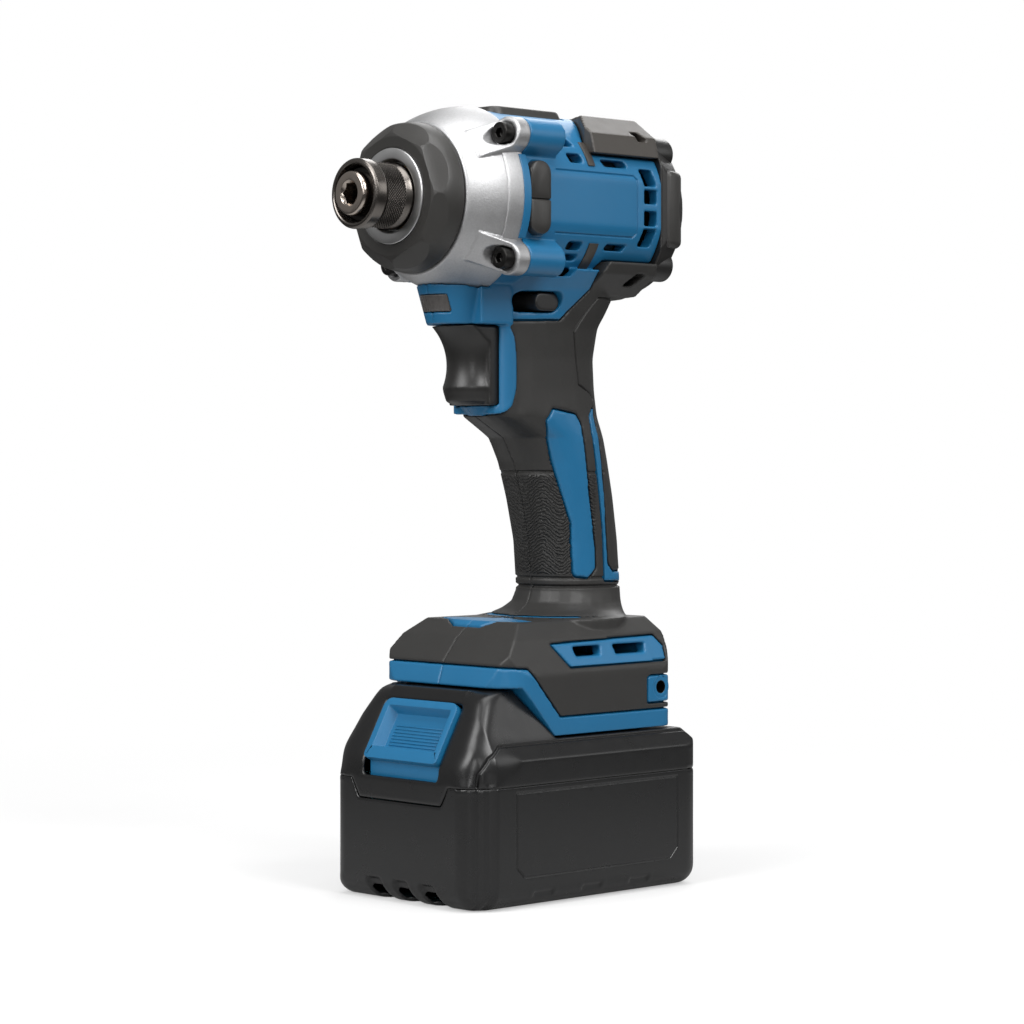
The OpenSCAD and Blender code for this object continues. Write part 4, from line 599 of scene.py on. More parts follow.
class Bench:
    """Modelling steps with Blender's own operators."""

    @staticmethod
    def clear() -> None:
        """Leaves edit mode and deselects everything."""
        if bpy.context.object and bpy.context.object.mode != "OBJECT":
            bpy.ops.object.mode_set(mode="OBJECT")
        bpy.ops.object.select_all(action="DESELECT")

    @classmethod
    def take(cls, piece: Piece) -> None:
        """Makes one piece the only selected and active one.

        Args:
            piece: Piece to work on.
        """
        cls.clear()
        piece.select_set(True)
        bpy.context.view_layer.objects.active = piece

    @staticmethod
    def named(name: str) -> Piece:
        """Names the active piece and its mesh.

        Args:
            name: Name of the piece.

        Returns:
            The active piece.
        """
        piece = bpy.context.object
        piece.name = piece.data.name = name
        return piece

    @classmethod
    def settle(cls, piece: Piece) -> None:
        """Puts the piece's place, turn and scale into its mesh."""
        cls.take(piece)
        bpy.ops.object.transform_apply(location=True, rotation=True, scale=True)

    @classmethod
    @contextmanager
    def editing(cls, piece: Piece, kind: str = "VERT") -> Iterator[None]:
        """Edit mode on one piece, with everything selected.

        Args:
            piece: Piece to work on.
            kind: What is selected: VERT, EDGE or FACE.

        Returns:
            Context that ends in object mode.
        """
        cls.take(piece)
        bpy.ops.object.mode_set(mode="EDIT")
        bpy.ops.mesh.select_mode(type=kind)
        bpy.ops.mesh.select_all(action="SELECT")
        yield
        bpy.ops.object.mode_set(mode="OBJECT")

    @classmethod
    @contextmanager
    def picked(cls, piece: Piece, kind: str, flags: Sequence[bool]) -> Iterator[None]:
        """Edit mode on one piece, with some of its faces or edges selected.

        Args:
            piece: Piece to work on.
            kind: FACE or EDGE.
            flags: One choice for each face or edge.

        Returns:
            Context that ends in object mode.
        """
        with cls.editing(piece, kind):
            bpy.ops.mesh.select_all(action="DESELECT")
        items = piece.data.polygons if kind == "FACE" else piece.data.edges
        items.foreach_set("select", np.array(flags, dtype=bool))
        bpy.ops.object.mode_set(mode="EDIT")
        yield
        bpy.ops.object.mode_set(mode="OBJECT")

    @classmethod
    def faces(cls, piece: Piece, test: Test) -> AbstractContextManager[None]:
        """Edit mode with the faces selected whose middle and normal pass a test."""
        return cls.picked(piece, "FACE", [test(face.center, face.normal) for face in piece.data.polygons])

    @classmethod
    def edges(cls, piece: Piece, test: Test) -> AbstractContextManager[None]:
        """Edit mode with the edges selected whose two ends pass a test.

        Args:
            piece: Piece to work on.
            test: Takes an edge's two ends.

        Returns:
            Context in which the edges are selected.
        """
        points = piece.data.vertices
        ends = ([points[i].co for i in edge.vertices] for edge in piece.data.edges)
        return cls.picked(piece, "EDGE", [test(*pair) for pair in ends])

    @classmethod
    def bevel(cls, piece: Piece, test: Test, offset: float, segments: int) -> None:
        """Bevels the edges whose two ends pass a test.

        Args:
            piece: Piece to bevel.
            test: Takes an edge's two ends.
            offset: Size of the bevel in metres.
            segments: Steps of the bevel.
        """
        with cls.edges(piece, test):
            bpy.ops.mesh.bevel(offset=offset, segments=segments, affect="EDGES")

    @classmethod
    def modify(cls, piece: Piece, kind: str, **settings: Any) -> None:
        """Adds one modifier and applies it.

        Args:
            piece: Piece to change.
            kind: Blender's name of the modifier.
            settings: The modifier's settings.
        """
        cls.take(piece)
        added = piece.modifiers.new(kind.lower(), kind)
        for key, value in settings.items():
            setattr(added, key, value)
        bpy.ops.object.modifier_apply(modifier=added.name)

    @classmethod
    def soften(cls, piece: Piece, width: float, segments: int = 3, angle: float = 40.0) -> None:
        """Rounds the sharp edges and smooths the shading.

        Args:
            piece: Piece to round.
            width: Width of the rounding in metres.
            segments: Steps of the rounding.
            angle: Edges sharper than this many degrees are rounded.
        """
        cls.modify(piece, "BEVEL", width=width, segments=segments, limit_method="ANGLE",
                   angle_limit=math.radians(angle), harden_normals=False)
        cls.smooth(piece)

    @classmethod
    def smooth(cls, piece: Piece, angle: float = 40.0) -> None:
        """Smooths the shading up to an angle in degrees."""
        cls.take(piece)
        bpy.ops.object.shade_smooth_by_angle(angle=math.radians(angle))

    @classmethod
    def relax(cls, piece: Piece, weights: np.ndarray, iterations: int) -> None:
        """Smooths the surface where the weights say so.

        Args:
            piece: Piece to smooth.
            weights: One share from zero to one per point.
            iterations: Rounds of smoothing.
        """
        group = piece.vertex_groups.new(name="open")
        group.add(np.flatnonzero(weights == 1.0).tolist(), 1.0, "REPLACE")
        for i in np.flatnonzero((weights > 0.0) & (weights < 1.0)).tolist():
            group.add([i], float(weights[i]), "REPLACE")
        cls.modify(piece, "SMOOTH", factor=0.5, iterations=iterations, vertex_group="open")
        piece.vertex_groups.clear()

    @classmethod
    def repair(cls, piece: Piece, gap: float = 0.001 * MM) -> None:
        """Merges double points and turns all faces outwards.

        Args:
            piece: Piece to work on.
            gap: Largest distance in metres between merged points.
        """
        with cls.editing(piece):
            bpy.ops.mesh.remove_doubles(threshold=gap)
            bpy.ops.mesh.normals_make_consistent(inside=False)

    @classmethod
    def flatten(cls, piece: Piece, angle: float = 2.0) -> None:
        """Joins triangles that lie within an angle in degrees into whole faces."""
        with cls.editing(piece):
            bpy.ops.mesh.dissolve_limited(angle_limit=math.radians(angle))

    @classmethod
    def cut_away(cls, piece: Piece, place: Vector, outward: Vector) -> None:
        """Cuts off all that lies beyond a plane and closes the cut.

        Args:
            piece: Piece to cut.
            place: Point of the plane.
            outward: Direction of the side that goes.
        """
        with cls.editing(piece):
            bpy.ops.mesh.bisect(plane_co=place, plane_no=outward, use_fill=True, clear_outer=True)

    @staticmethod
    def arrays(items: Any, place: str) -> tuple[np.ndarray, np.ndarray]:
        """Places and normals of a mesh's points or faces.

        Args:
            items: Points or faces of a mesh.
            place: What a place is called there.

        Returns:
            Two arrays with one row for each of them.
        """
        spots, normals = np.zeros(len(items) * 3), np.zeros(len(items) * 3)
        items.foreach_get(place, spots)
        items.foreach_get("normal", normals)
        return spots.reshape(-1, 3), normals.reshape(-1, 3)

    @staticmethod
    def move(piece: Piece, points: np.ndarray) -> None:
        """Puts the points of a mesh at new places."""
        piece.data.vertices.foreach_set("co", points.ravel())
        piece.data.update()

    @classmethod
    def copy_of(cls, node: str, name: str) -> Piece:
        """Adds a merged copy of a node's mesh.

        Args:
            node: Node to copy.
            name: Name of the copy.

        Returns:
            The new piece.
        """
        piece = bpy.data.objects.new(name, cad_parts[node].data.copy())
        bpy.context.scene.collection.objects.link(piece)
        cls.repair(piece, 0.004 * MM)
        return piece

    @classmethod
    def box(cls, name: str, low: Point, high: Point) -> Piece:
        """Adds a cube between two corners in metres.

        Args:
            name: Name of the piece.
            low: Lowest corner.
            high: Highest corner.

        Returns:
            The new piece.
        """
        cls.clear()
        middle = [(a + b) / 2.0 for a, b in zip(low, high)]
        bpy.ops.mesh.primitive_cube_add(size=1.0, location=middle)
        piece = cls.named(name)
        piece.scale = [b - a for a, b in zip(low, high)]
        cls.settle(piece)
        return piece

    @classmethod
    def turn(cls, name: str, stations: Path, segments: int = 128) -> Piece:
        """Turns a closed profile round the drive axis by extruding and scaling a circle.

        Args:
            name: Name of the piece.
            stations: Places along X and radii, in millimetres, in order round the profile.
            segments: Points round the circle.

        Returns:
            The new piece.
        """
        cls.clear()
        (x, radius), *rest = [(along * MM, out * MM) for along, out in (*stations, stations[0])]
        bpy.ops.mesh.primitive_circle_add(vertices=segments, radius=radius, fill_type="NOTHING",
                                          location=(x, 0.0, AXIS_Z), rotation=ALONG_X)
        piece = cls.named(name)
        cls.settle(piece)
        with cls.editing(piece):
            for new_x, new_radius in rest:
                bpy.ops.mesh.extrude_region_move(TRANSFORM_OT_translate={"value": (new_x - x, 0.0, 0.0)})
                bpy.ops.transform.resize(value=(1.0, new_radius / radius, new_radius / radius),
                                         center_override=(new_x, 0.0, AXIS_Z))
                x, radius = new_x, new_radius
        cls.repair(piece)
        return piece

    @classmethod
    def drilled(cls, name: str, middle: Point, outward: Vector, radii: Pair, depths: Pair,
                points: int) -> Piece:
        """Adds a cylinder with a blind hole in one end.

        Args:
            name: Name of the piece.
            middle: Middle of the cylinder.
            outward: Direction of the drilled end, along X or Y.
            radii: Radius of the cylinder and of its hole.
            depths: Length of the cylinder and depth of its hole.
            points: Points round the cylinder.

        Returns:
            The new piece.
        """
        cls.clear()
        bpy.ops.mesh.primitive_cylinder_add(vertices=points, radius=radii[0], depth=depths[0],
                                            location=middle, rotation=ALONG_X if outward.x else ALONG_Y)
        piece = cls.named(name)
        cls.settle(piece)
        with cls.faces(piece, lambda place, normal: normal.dot(outward) > FACING):
            bpy.ops.mesh.inset(thickness=radii[0] - radii[1])
            bpy.ops.mesh.extrude_region_move(TRANSFORM_OT_translate={"value": tuple(outward * -depths[1])})
        return piece

    @classmethod
    def combine(cls, piece: Piece, other: Piece, operation: str) -> None:
        """Cuts, keeps or adds the space of another piece, which is used up.

        Args:
            piece: Piece to change.
            other: Piece that shapes it.
            operation: DIFFERENCE, INTERSECT or UNION.
        """
        cls.modify(piece, "BOOLEAN", object=other, operation=operation, solver="EXACT")
        bpy.data.objects.remove(other)

    @classmethod
    def join(cls, name: str, pieces: Sequence[Piece]) -> Piece:
        """Joins pieces into the first one and names it.

        Args:
            name: Name of the whole.
            pieces: Pieces to join.

        Returns:
            The whole.
        """
        cls.take(pieces[0])
        for piece in pieces[1:]:
            piece.select_set(True)
        bpy.ops.object.join()
        return cls.named(name)

    @classmethod
    def dress(cls, piece: Piece, finish: Finishes, body: str, *nodes: str) -> None:
        """Gives a piece its finish and its body, and hides the nodes that it stands for.

        Args:
            piece: Finished piece.
            finish: Its finish.
            body: Body that it rides on.
            nodes: Nodes that it replaces.
        """
        cls.clear()
        piece.data.materials.clear()
        piece.data.materials.append(finish.value.material())
        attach(piece, body)
        if nodes:
            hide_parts(*nodes)
        log.info("%s: %d faces on %s", piece.name, len(piece.data.polygons), body)

    @classmethod
    def rounded(cls, node: str, name: str, width: float, finish: Finishes) -> None:
        """Dresses a copy of one of the tool's nodes with its edges rounded.

        Args:
            node: Node to copy and replace.
            name: Name of the copy.
            width: Width of the rounding in metres.
            finish: Finish of the copy.
        """
        piece = cls.copy_of(node, name)
        cls.flatten(piece)
        cls.soften(piece, width)
        cls.dress(piece, finish, "tool", node)


@dataclass
class Groove:
    """Line in millimetres that is pressed into a shell, seen along Y."""

    path: Path
    width: float = 0.7 * MM
    depth: float = 0.45 * MM
    closed: bool = False
    core: Pair | None = None
    mirrored: bool = False
    facing: float = 0.25
    fade: float = 0.15

    def distance(self, points: np.ndarray) -> np.ndarray:
        """Distance of each point from the line in its view.

        Args:
            points: Array of places in metres.

        Returns:
            One distance per place.
        """
        flat = points[:, [0, 2]]
        ends = np.array(self.path) * MM
        starts, stops = (ends, np.roll(ends, -1, 0)) if self.closed else (ends[:-1], ends[1:])
        nearest = np.full(len(flat), np.inf)
        for a, b in zip(starts, stops):
            along = b - a
            share = np.clip(((flat - a) @ along) / (along @ along), 0.0, 1.0)
            nearest = np.minimum(nearest, np.linalg.norm(flat - (a + share[:, None] * along), axis=1))
        return nearest

    def outward(self, points: np.ndarray, normals: np.ndarray, side: Point) -> np.ndarray:
        """Tells how far each point lies on the outer surface.

        Args:
            points: Places in metres.
            normals: Their normals.
            side: Direction of the outer surface, where no core is given.

        Returns:
            One share from zero to one per place.
        """
        if self.core is None:
            toward = normals @ np.array(side)
            toward = np.abs(toward) if self.mirrored else toward
        else:
            out = points[:, :2] - np.array(self.core) * MM
            toward = np.einsum("ij,ij->i", normals[:, :2], out) / np.linalg.norm(out, axis=1)
        return np.clip((toward - self.facing + self.fade) / (2.0 * self.fade), 0.0, 1.0)


@dataclass
class Shell:
    """Moulded or cast shell: a node's solid with its edges rounded and its lofts smoothed."""

    node: str
    finish: Finishes
    body: str = "tool"
    voxel: float = 0.45 * MM
    rounding: int = 3
    sharp: float = 17.0
    flow: int = 30
    guard: float = 1.6 * MM
    limit: int = 170000
    grooves: Sequence[Groove] = field(default_factory=list)
    side: Point = (0.0, 1.0, 0.0)
    splits: Pair = (2.4, 1.5)

    def build(self) -> Piece:
        """Builds the shell over its node.

        Returns:
            The finished piece.
        """
        piece = Bench.copy_of(self.node, self.node + "_shell")
        self.trim(piece)
        edges = self.sharp_points(piece)
        Bench.modify(piece, "REMESH", mode="VOXEL", voxel_size=self.voxel, adaptivity=0.0)
        Bench.modify(piece, "SMOOTH", factor=0.5, iterations=self.rounding)
        self.flow_between(piece, edges)
        self.shape(piece)
        for groove in self.grooves:
            self.score(piece, groove)
        triangles = len(piece.data.loops) - 2 * len(piece.data.polygons)
        if triangles > self.limit:
            Bench.modify(piece, "DECIMATE", ratio=self.limit / triangles)
        Bench.take(piece)
        bpy.ops.object.shade_smooth()
        Bench.dress(piece, self.finish, self.body, self.node)
        return piece

    def trim(self, piece: Piece) -> None:
        """Cuts the copy of the node before it is rounded."""

    def shape(self, piece: Piece) -> None:
        """Moves the rounded surface, before the grooves are pressed in."""

    def sharp_points(self, piece: Piece) -> np.ndarray:
        """Places along the edges that stay crisp.

        Args:
            piece: Merged copy of the node.

        Returns:
            Array of places.
        """
        mesh = piece.data
        _, normals = Bench.arrays(mesh.polygons, "center")
        sides: dict[tuple[int, int], list[int]] = {}
        for face in mesh.polygons:
            for key in face.edge_keys:
                sides.setdefault(key, []).append(face.index)
        limit = math.cos(math.radians(self.sharp))
        found = []
        for (a, b), faces in sides.items():
            if len(faces) == 2 and normals[faces[0]] @ normals[faces[1]] > limit:
                continue
            start, stop = np.array(mesh.vertices[a].co), np.array(mesh.vertices[b].co)
            steps = max(2, int(np.linalg.norm(stop - start) / self.voxel))
            found.append(start + np.linspace(0.0, 1.0, steps)[:, None] * (stop - start))
        return np.concatenate(found)

    def flow_between(self, piece: Piece, edges: np.ndarray) -> None:
        """Smooths the surface away from its crisp edges.

        Args:
            piece: Remeshed shell.
            edges: Places along the crisp edges.
        """
        tree = KDTree(len(edges))
        for i, place in enumerate(edges):
            tree.insert(place, i)
        tree.balance()
        free = np.array([tree.find(v.co)[2] > self.guard for v in piece.data.vertices], dtype=float)
        Bench.relax(piece, free, self.flow)

    def score(self, piece: Piece, groove: Groove) -> None:
        """Presses a groove into the outer side of the shell, after splitting the faces near it.

        Args:
            piece: Shell to score.
            groove: Line to press in.
        """
        for reach in self.splits:
            middles, normals = Bench.arrays(piece.data.polygons, "center")
            near = groove.distance(middles) < groove.width * reach
            with Bench.picked(piece, "FACE", near & (groove.outward(middles, normals, self.side) > 0.0)):
                bpy.ops.mesh.subdivide(number_cuts=1)
        points, normals = Bench.arrays(piece.data.vertices, "co")
        push = eased(1.0 - groove.distance(points) / groove.width) * groove.depth
        push = push * groove.outward(points, normals, self.side)
        Bench.move(piece, points - normals * push[:, None])


@dataclass
class Studio:
    """Pale floor, soft light and the camera of the photograph."""

    camera_at: Point = (0.6945, 0.72448, 0.14719)
    heading: float = 46.276
    lens: float = 105.7
    sensor: float = 36.0
    shift: float = -0.0642
    view_end: float = 50.0
    floor_reach: float = 6.0
    floor_fade: Pair = (0.16, 0.55)
    floor_tone: float = 0.4
    floor_glow: float = 0.45
    bounce: float = 0.07
    sky_light: float = 0.24
    lamps: Sequence[tuple[str, Point, float, float, float, float]] = (
        ("key", (0.9, 0.0, 0.75), 0.14, 0.6, 0.7, 9.5),
        ("side", (0.05, 1.05, 0.95), 0.18, 0.5, 0.6, 10.5),
        ("sheen", (-0.66, 0.7, 0.5), 0.22, 0.4, 0.4, 0.9),
        ("front", (0.86, 0.9, 0.45), 0.14, 0.2, 0.5, 2.2),
        ("top", (0.0, 0.15, 1.15), 0.1, 0.8, 0.8, 7.5),
        ("back", (-0.8, -0.5, 0.8), 0.18, 0.6, 0.6, 4.0))

    def build(self) -> None:
        """Builds the floor, the sky, the lights and the camera."""
        self.floor()
        self.sky()
        for name, at, aim_z, wide, high, power in self.lamps:
            data = bpy.data.lights.new(name, "AREA")
            data.shape = "RECTANGLE"
            data.size, data.size_y, data.energy = wide, high, power
            self.put(name, data, at, Vector((0.0, 0.0, aim_z)) - Vector(at))
        self.camera()
        bpy.context.scene.view_settings.view_transform = "Standard"

    @staticmethod
    def put(name: str, data: Any, at: Point, forward: Vector) -> Piece:
        """Adds a light or a camera.

        Args:
            name: Its name.
            data: The light's or camera's own data.
            at: Its place.
            forward: Direction that it faces.

        Returns:
            The new object.
        """
        made = bpy.data.objects.new(name, data)
        made.location = at
        made.rotation_euler = forward.to_track_quat("-Z", "Y").to_euler()
        bpy.context.scene.collection.objects.link(made)
        return made

    def floor(self) -> None:
        """Adds the floor, which fades to plain white away from the part."""
        Bench.clear()
        bpy.ops.mesh.primitive_plane_add(size=2.0 * self.floor_reach, location=(0.0, 0.0, 0.0))
        floor = Bench.named("floor")
        Bench.settle(floor)
        sheet = Sheet("floor")
        black, white = (0.0, 0.0, 0.0), (1.0, 1.0, 1.0)
        at = sheet.node("ShaderNodeTexCoord", out="Object")
        reach = sheet.node("ShaderNodeVectorMath", {"operation": "LENGTH"}, {0: at}, "Value")
        far = reach.between(*self.floor_fade)
        grain = sheet.noise(30.0 * MM, 2.0) * 0.01 + self.floor_tone
        tone = sheet.node("ShaderNodeCombineColor", {}, {0: grain, 1: grain, 2: grain})
        seen = sheet.node("ShaderNodeLightPath", out="Is Camera Ray") * (1.0 - self.bounce) + self.bounce
        glow = sheet.mix(seen, black, sheet.mix(far, (self.floor_glow,) * 3, white))
        floor.data.materials.append(sheet.finish(
            Base_Color=sheet.mix(far, tone, black), Roughness=0.9, Specular_IOR_Level=0.0,
            Emission_Color=glow, Emission_Strength=1.0))

    def sky(self) -> None:
        """Makes the surroundings: white to the camera, softer as light."""
        world = bpy.data.worlds.new("studio")
        bpy.context.scene.world = world
        world.use_nodes = True
        tree = world.node_tree
        ground = tree.nodes["Background"]
        ground.inputs["Color"].default_value = (1.0, 1.0, 1.0, 1.0)
        path = tree.nodes.new("ShaderNodeLightPath")
        power = tree.nodes.new("ShaderNodeMapRange")
        power.inputs["To Min"].default_value = self.sky_light
        power.inputs["To Max"].default_value = 1.0
        tree.links.new(path.outputs["Is Camera Ray"], power.inputs["Value"])
        tree.links.new(power.outputs[0], ground.inputs["Strength"])

    def camera(self) -> None:
        """Places the level camera of the photograph."""
        data = bpy.data.cameras.new("camera")
        data.lens, data.sensor_width, data.shift_y = self.lens, self.sensor, self.shift
        data.clip_end = self.view_end
        angle = math.radians(self.heading)
        forward = Vector((-math.cos(angle), -math.sin(angle), 0.0))
        bpy.context.scene.camera = self.put("camera", data, self.camera_at, forward)


@dataclass
class BitHolder:
    """Knurled sleeve, polished nose and washer of the bit holder. Profiles are in millimetres."""

    back: float = 53.3
    tail: Path = ((0.0, 7.25), (0.0, 9.2), (0.15, 9.9), (0.6, 10.5), (1.3, 10.8), (2.2, 10.75), (3.0, 10.4),
                  (3.7, 9.95), (4.2, 9.7), (4.5, 9.7))
    knurl: Pair = (4.6, 12.4)
    knurl_r: float = 10.15
    inner_r: float = 9.6 * MM
    lip: Path = ((12.5, 9.95), (12.7, 9.9), (12.9, 10.1), (13.1, 10.7), (13.35, 11.1), (13.8, 11.3),
                 (16.7, 11.3), (17.2, 11.24), (17.6, 11.0), (17.9, 10.6), (18.0, 10.2), (18.0, 9.9),
                 (17.8, 9.55), (17.3, 9.3), (16.5, 9.0), (5.4, 9.0), (5.4, 7.25))
    rows: int = 8
    columns: int = 64
    tooth: float = 0.5 * MM
    nose_r: float = 6.0 * MM
    nose_edge: float = 0.45 * MM
    ring: Path = ((54.9, 11.85), (54.9, 15.5), (55.6, 15.5), (55.82, 15.4), (55.9, 15.15), (55.9, 12.3),
                  (55.84, 12.0), (55.7, 11.85))

    def build(self) -> None:
        """Builds the sleeve, the nose and the washer."""
        self.sleeve()
        self.nose()
        washer = Bench.turn("front_washer_turned", self.ring)
        Bench.smooth(washer, 50.0)
        Bench.dress(washer, Finishes.BRIGHT, "tool", "front_washer")

    def sleeve(self) -> None:
        """Turns the sleeve and cuts its diamond knurl."""
        start, stop = self.knurl
        rows = [(start + (stop - start) * i / self.rows, self.knurl_r) for i in range(self.rows + 1)]
        profile = [(self.back + x, r) for x, r in (*self.tail, *rows, *self.lip)]
        piece = Bench.turn("collet_sleeve_turned", profile, self.columns)
        low, high = (self.back + start) * MM, (self.back + stop) * MM
        margin = 0.01 * MM

        def in_band(middle: Vector, normal: Vector) -> bool:
            """True on the outside of the knurled band."""
            return low < middle.x < high and abs(normal.x) < 0.1 and off_axis(middle) > self.inner_r

        def old_edge(a: Vector, b: Vector) -> bool:
            """True for a grid edge of the band, which runs along the axis or round it.

            Args:
                a: First end of the edge.
                b: Second end of the edge.

            Returns:
                Whether the edge goes.
            """
            if min(off_axis(a), off_axis(b)) < self.inner_r:
                return False
            angles = [math.atan2(end.y, end.z - AXIS_Z) for end in (a, b)]
            along = abs(math.remainder(angles[0] - angles[1], math.tau)) < 1e-3
            return low + margin < (a.x + b.x) / 2.0 < high - margin and (along or abs(a.x - b.x) < TINY)

        with Bench.faces(piece, in_band):
            bpy.ops.mesh.poke(offset=0.0)
        with Bench.edges(piece, old_edge):
            bpy.ops.mesh.dissolve_edges(use_verts=False, use_face_split=False)
        with Bench.faces(piece, in_band):
            bpy.ops.mesh.poke(offset=self.tooth)
        Bench.smooth(piece, 16.0)
        Bench.dress(piece, Finishes.KNURLED, "sleeve", "collet_sleeve")

    def nose(self) -> None:
        """Rounds the edges of the anvil's nose and socket."""
        piece = Bench.copy_of("anvil", "anvil_nose")
        Bench.flatten(piece)
        tip = max(v.co.x for v in piece.data.vertices)

        def rim(a: Vector, b: Vector) -> bool:
            """True round the outer edge of the tip."""
            at_tip = abs(a.x - b.x) < 0.01 * MM and a.x > tip - 1.2 * MM
            return at_tip and min(off_axis(a), off_axis(b)) > self.nose_r

        Bench.bevel(piece, rim, self.nose_edge, 4)
        Bench.soften(piece, 0.12 * MM, 2, 32.0)
        Bench.dress(piece, Finishes.NOSE, "output", "anvil")


@dataclass
class NoseBumper:
    """Rubber ring on the nose: a flat rim, eight slanted flats and a plain band behind."""

    sides: int = 8
    flat_from: Pair = (51.3 * MM, 23.55 * MM)
    flat_to: Pair = (55.4 * MM, 19.2 * MM)
    ring: Path = ((45.3, 15.6), (45.3, 23.8), (45.5, 24.2), (46.0, 24.39), (47.4, 24.36), (49.5, 24.1),
                  (51.6, 23.72), (53.3, 23.0), (54.6, 21.8), (55.3, 20.4), (55.5, 19.15), (55.46, 18.9),
                  (55.46, 16.0), (55.3, 15.6))

    def build(self) -> None:
        """Turns the ring and slices the flats."""
        piece = Bench.turn("nose_bumper_ring", self.ring)
        run, drop = self.flat_to[0] - self.flat_from[0], self.flat_from[1] - self.flat_to[1]
        for k in range(self.sides):
            angle = math.tau * (k + 0.5) / self.sides
            out = Vector((0.0, math.cos(angle), math.sin(angle)))
            normal = (out * run + Vector((drop, 0.0, 0.0))).normalized()
            place = Vector((self.flat_from[0], 0.0, AXIS_Z)) + out * self.flat_from[1]
            Bench.cut_away(piece, place, normal)
        Bench.repair(piece, 0.02 * MM)
        Bench.flatten(piece, 1.0)
        Bench.soften(piece, 0.22 * MM, 2, 14.0)
        Bench.smooth(piece, 24.0)
        Bench.dress(piece, Finishes.PAD, "tool", "nose_bumper")


@dataclass
class Pads:
    """Rubber pads on the sides, the top and the rear of the motor housing."""

    side_low: Point = (13.7 * MM, 27.2 * MM, 215.5 * MM)
    side_high: Point = (22.9 * MM, 31.3 * MM, 239.3 * MM)
    split_z: float = 226.9 * MM
    split_half: float = 0.03 * MM
    dome: float = 0.6 * MM
    dome_rim: float = 2.4 * MM
    rear_low: Point = (-55.0 * MM, -29.8 * MM, 214.2 * MM)
    rear_high: Point = (-41.3 * MM, 29.8 * MM, 240.2 * MM)
    rear_round: float = 10.0 * MM
    rear_lead: float = 2.6 * MM
    rear_edge: float = 2.2 * MM
    rear_wall: Pair = (3.0 * MM, 3.4 * MM)
    rear_inner: float = 7.0 * MM
    top_low: Point = (-15.0 * MM, -9.0 * MM, 255.8 * MM)
    top_high: Point = (18.0 * MM, 9.0 * MM, 259.1 * MM)
    top_taper: Point = (0.94, 0.86, 1.0)
    corner: float = 4.2 * MM
    corner_steps: int = 8
    bend_steps: int = 12
    edge: float = 0.7 * MM

    def build(self) -> None:
        """Builds all pads."""
        self.side_pads()
        self.top_pad()
        self.rear_pad()

    def side_pads(self) -> None:
        """Builds one split side pad and a mirrored copy."""
        halves = [self.side_half(self.side_low[2], self.split_z - self.split_half, self.side_low[2]),
                  self.side_half(self.split_z + self.split_half, self.side_high[2], self.side_high[2])]
        left = Bench.join("side_pad_left", halves)
        Bench.take(left)
        bpy.ops.object.duplicate()
        right = Bench.named("side_pad_right")
        right.scale.y = -1.0
        Bench.settle(right)
        Bench.repair(right)
        Bench.smooth(right)
        for pad in (left, right):
            Bench.dress(pad, Finishes.PAD, "tool", "side_pads")

    def side_half(self, low_z: float, high_z: float, end_z: float) -> Piece:
        """Builds one domed half of a side pad.

        Args:
            low_z: Where it starts.
            high_z: Where it stops.
            end_z: Height of its rounded end.

        Returns:
            The half.
        """
        half = Bench.box("side_pad_half", (*self.side_low[:2], low_z), (*self.side_high[:2], high_z))
        Bench.bevel(half, lambda a, b: max(abs(a.z - end_z), abs(b.z - end_z), abs(a.x - b.x)) < 1e-6,
                    self.corner, self.corner_steps)
        with Bench.faces(half, lambda middle, normal: normal.y > FACING):
            bpy.ops.mesh.inset(thickness=self.dome_rim)
            bpy.ops.transform.translate(value=(0.0, self.dome, 0.0))
        Bench.soften(half, self.edge, 4)
        return half

    def rear_pad(self) -> None:
        """Builds the pad that wraps round the back of the cap."""
        (back, low_y, low_z), (front, high_y, high_z) = self.rear_low, self.rear_high
        wall_x, wall_y = self.rear_wall
        near = 0.01 * MM
        piece = Bench.box("rear_pad_wrap", self.rear_low, self.rear_high)
        Bench.bevel(piece, lambda a, b: upright(a, b) and a.x < back + MM, self.rear_round, self.bend_steps)
        Bench.bevel(piece, lambda a, b: upright(a, b) and a.x > front - MM, self.rear_lead, 1)
        Bench.bevel(piece, lambda a, b: abs(a.z - b.z) < near and min(a.x, b.x) < front - near,
                    self.rear_edge, 4)
        inner = Bench.box("rear_pad_inner", (back + wall_x, low_y + wall_y, low_z - MM),
                          (front + MM, high_y - wall_y, high_z + MM))
        Bench.bevel(inner, lambda a, b: upright(a, b) and a.x < front - MM, self.rear_inner, self.bend_steps)
        Bench.combine(piece, inner, "DIFFERENCE")
        Bench.soften(piece, 0.5 * MM, 3, 35.0)
        Bench.dress(piece, Finishes.PAD, "tool", "rear_pad")

    def top_pad(self) -> None:
        """Builds the long pad on top, with slanted ends."""
        piece = Bench.box("top_pad_strip", self.top_low, self.top_high)
        Bench.bevel(piece, upright, self.corner, self.corner_steps)
        middle_x = (self.top_low[0] + self.top_high[0]) / 2.0
        with Bench.faces(piece, lambda middle, normal: normal.z > FACING):
            bpy.ops.transform.resize(value=self.top_taper, center_override=(middle_x, 0.0, self.top_high[2]))
        Bench.soften(piece, self.edge, 4, 25.0)
        Bench.dress(piece, Finishes.PAD, "tool", "top_pad")


@dataclass
class Controls:
    """Trigger, direction lever and work light."""

    lens_edge: float = 0.35 * MM

    def build(self) -> None:
        """Builds the three controls."""
        Shell("trigger", Finishes.CAP, "trigger_lever", voxel=0.35 * MM, rounding=14, flow=40).build()
        Shell("direction_lever", Finishes.CAP, "selector", voxel=0.3 * MM, rounding=6, flow=4).build()
        Bench.rounded("led_lens", "led_window", self.lens_edge, Finishes.LENS)


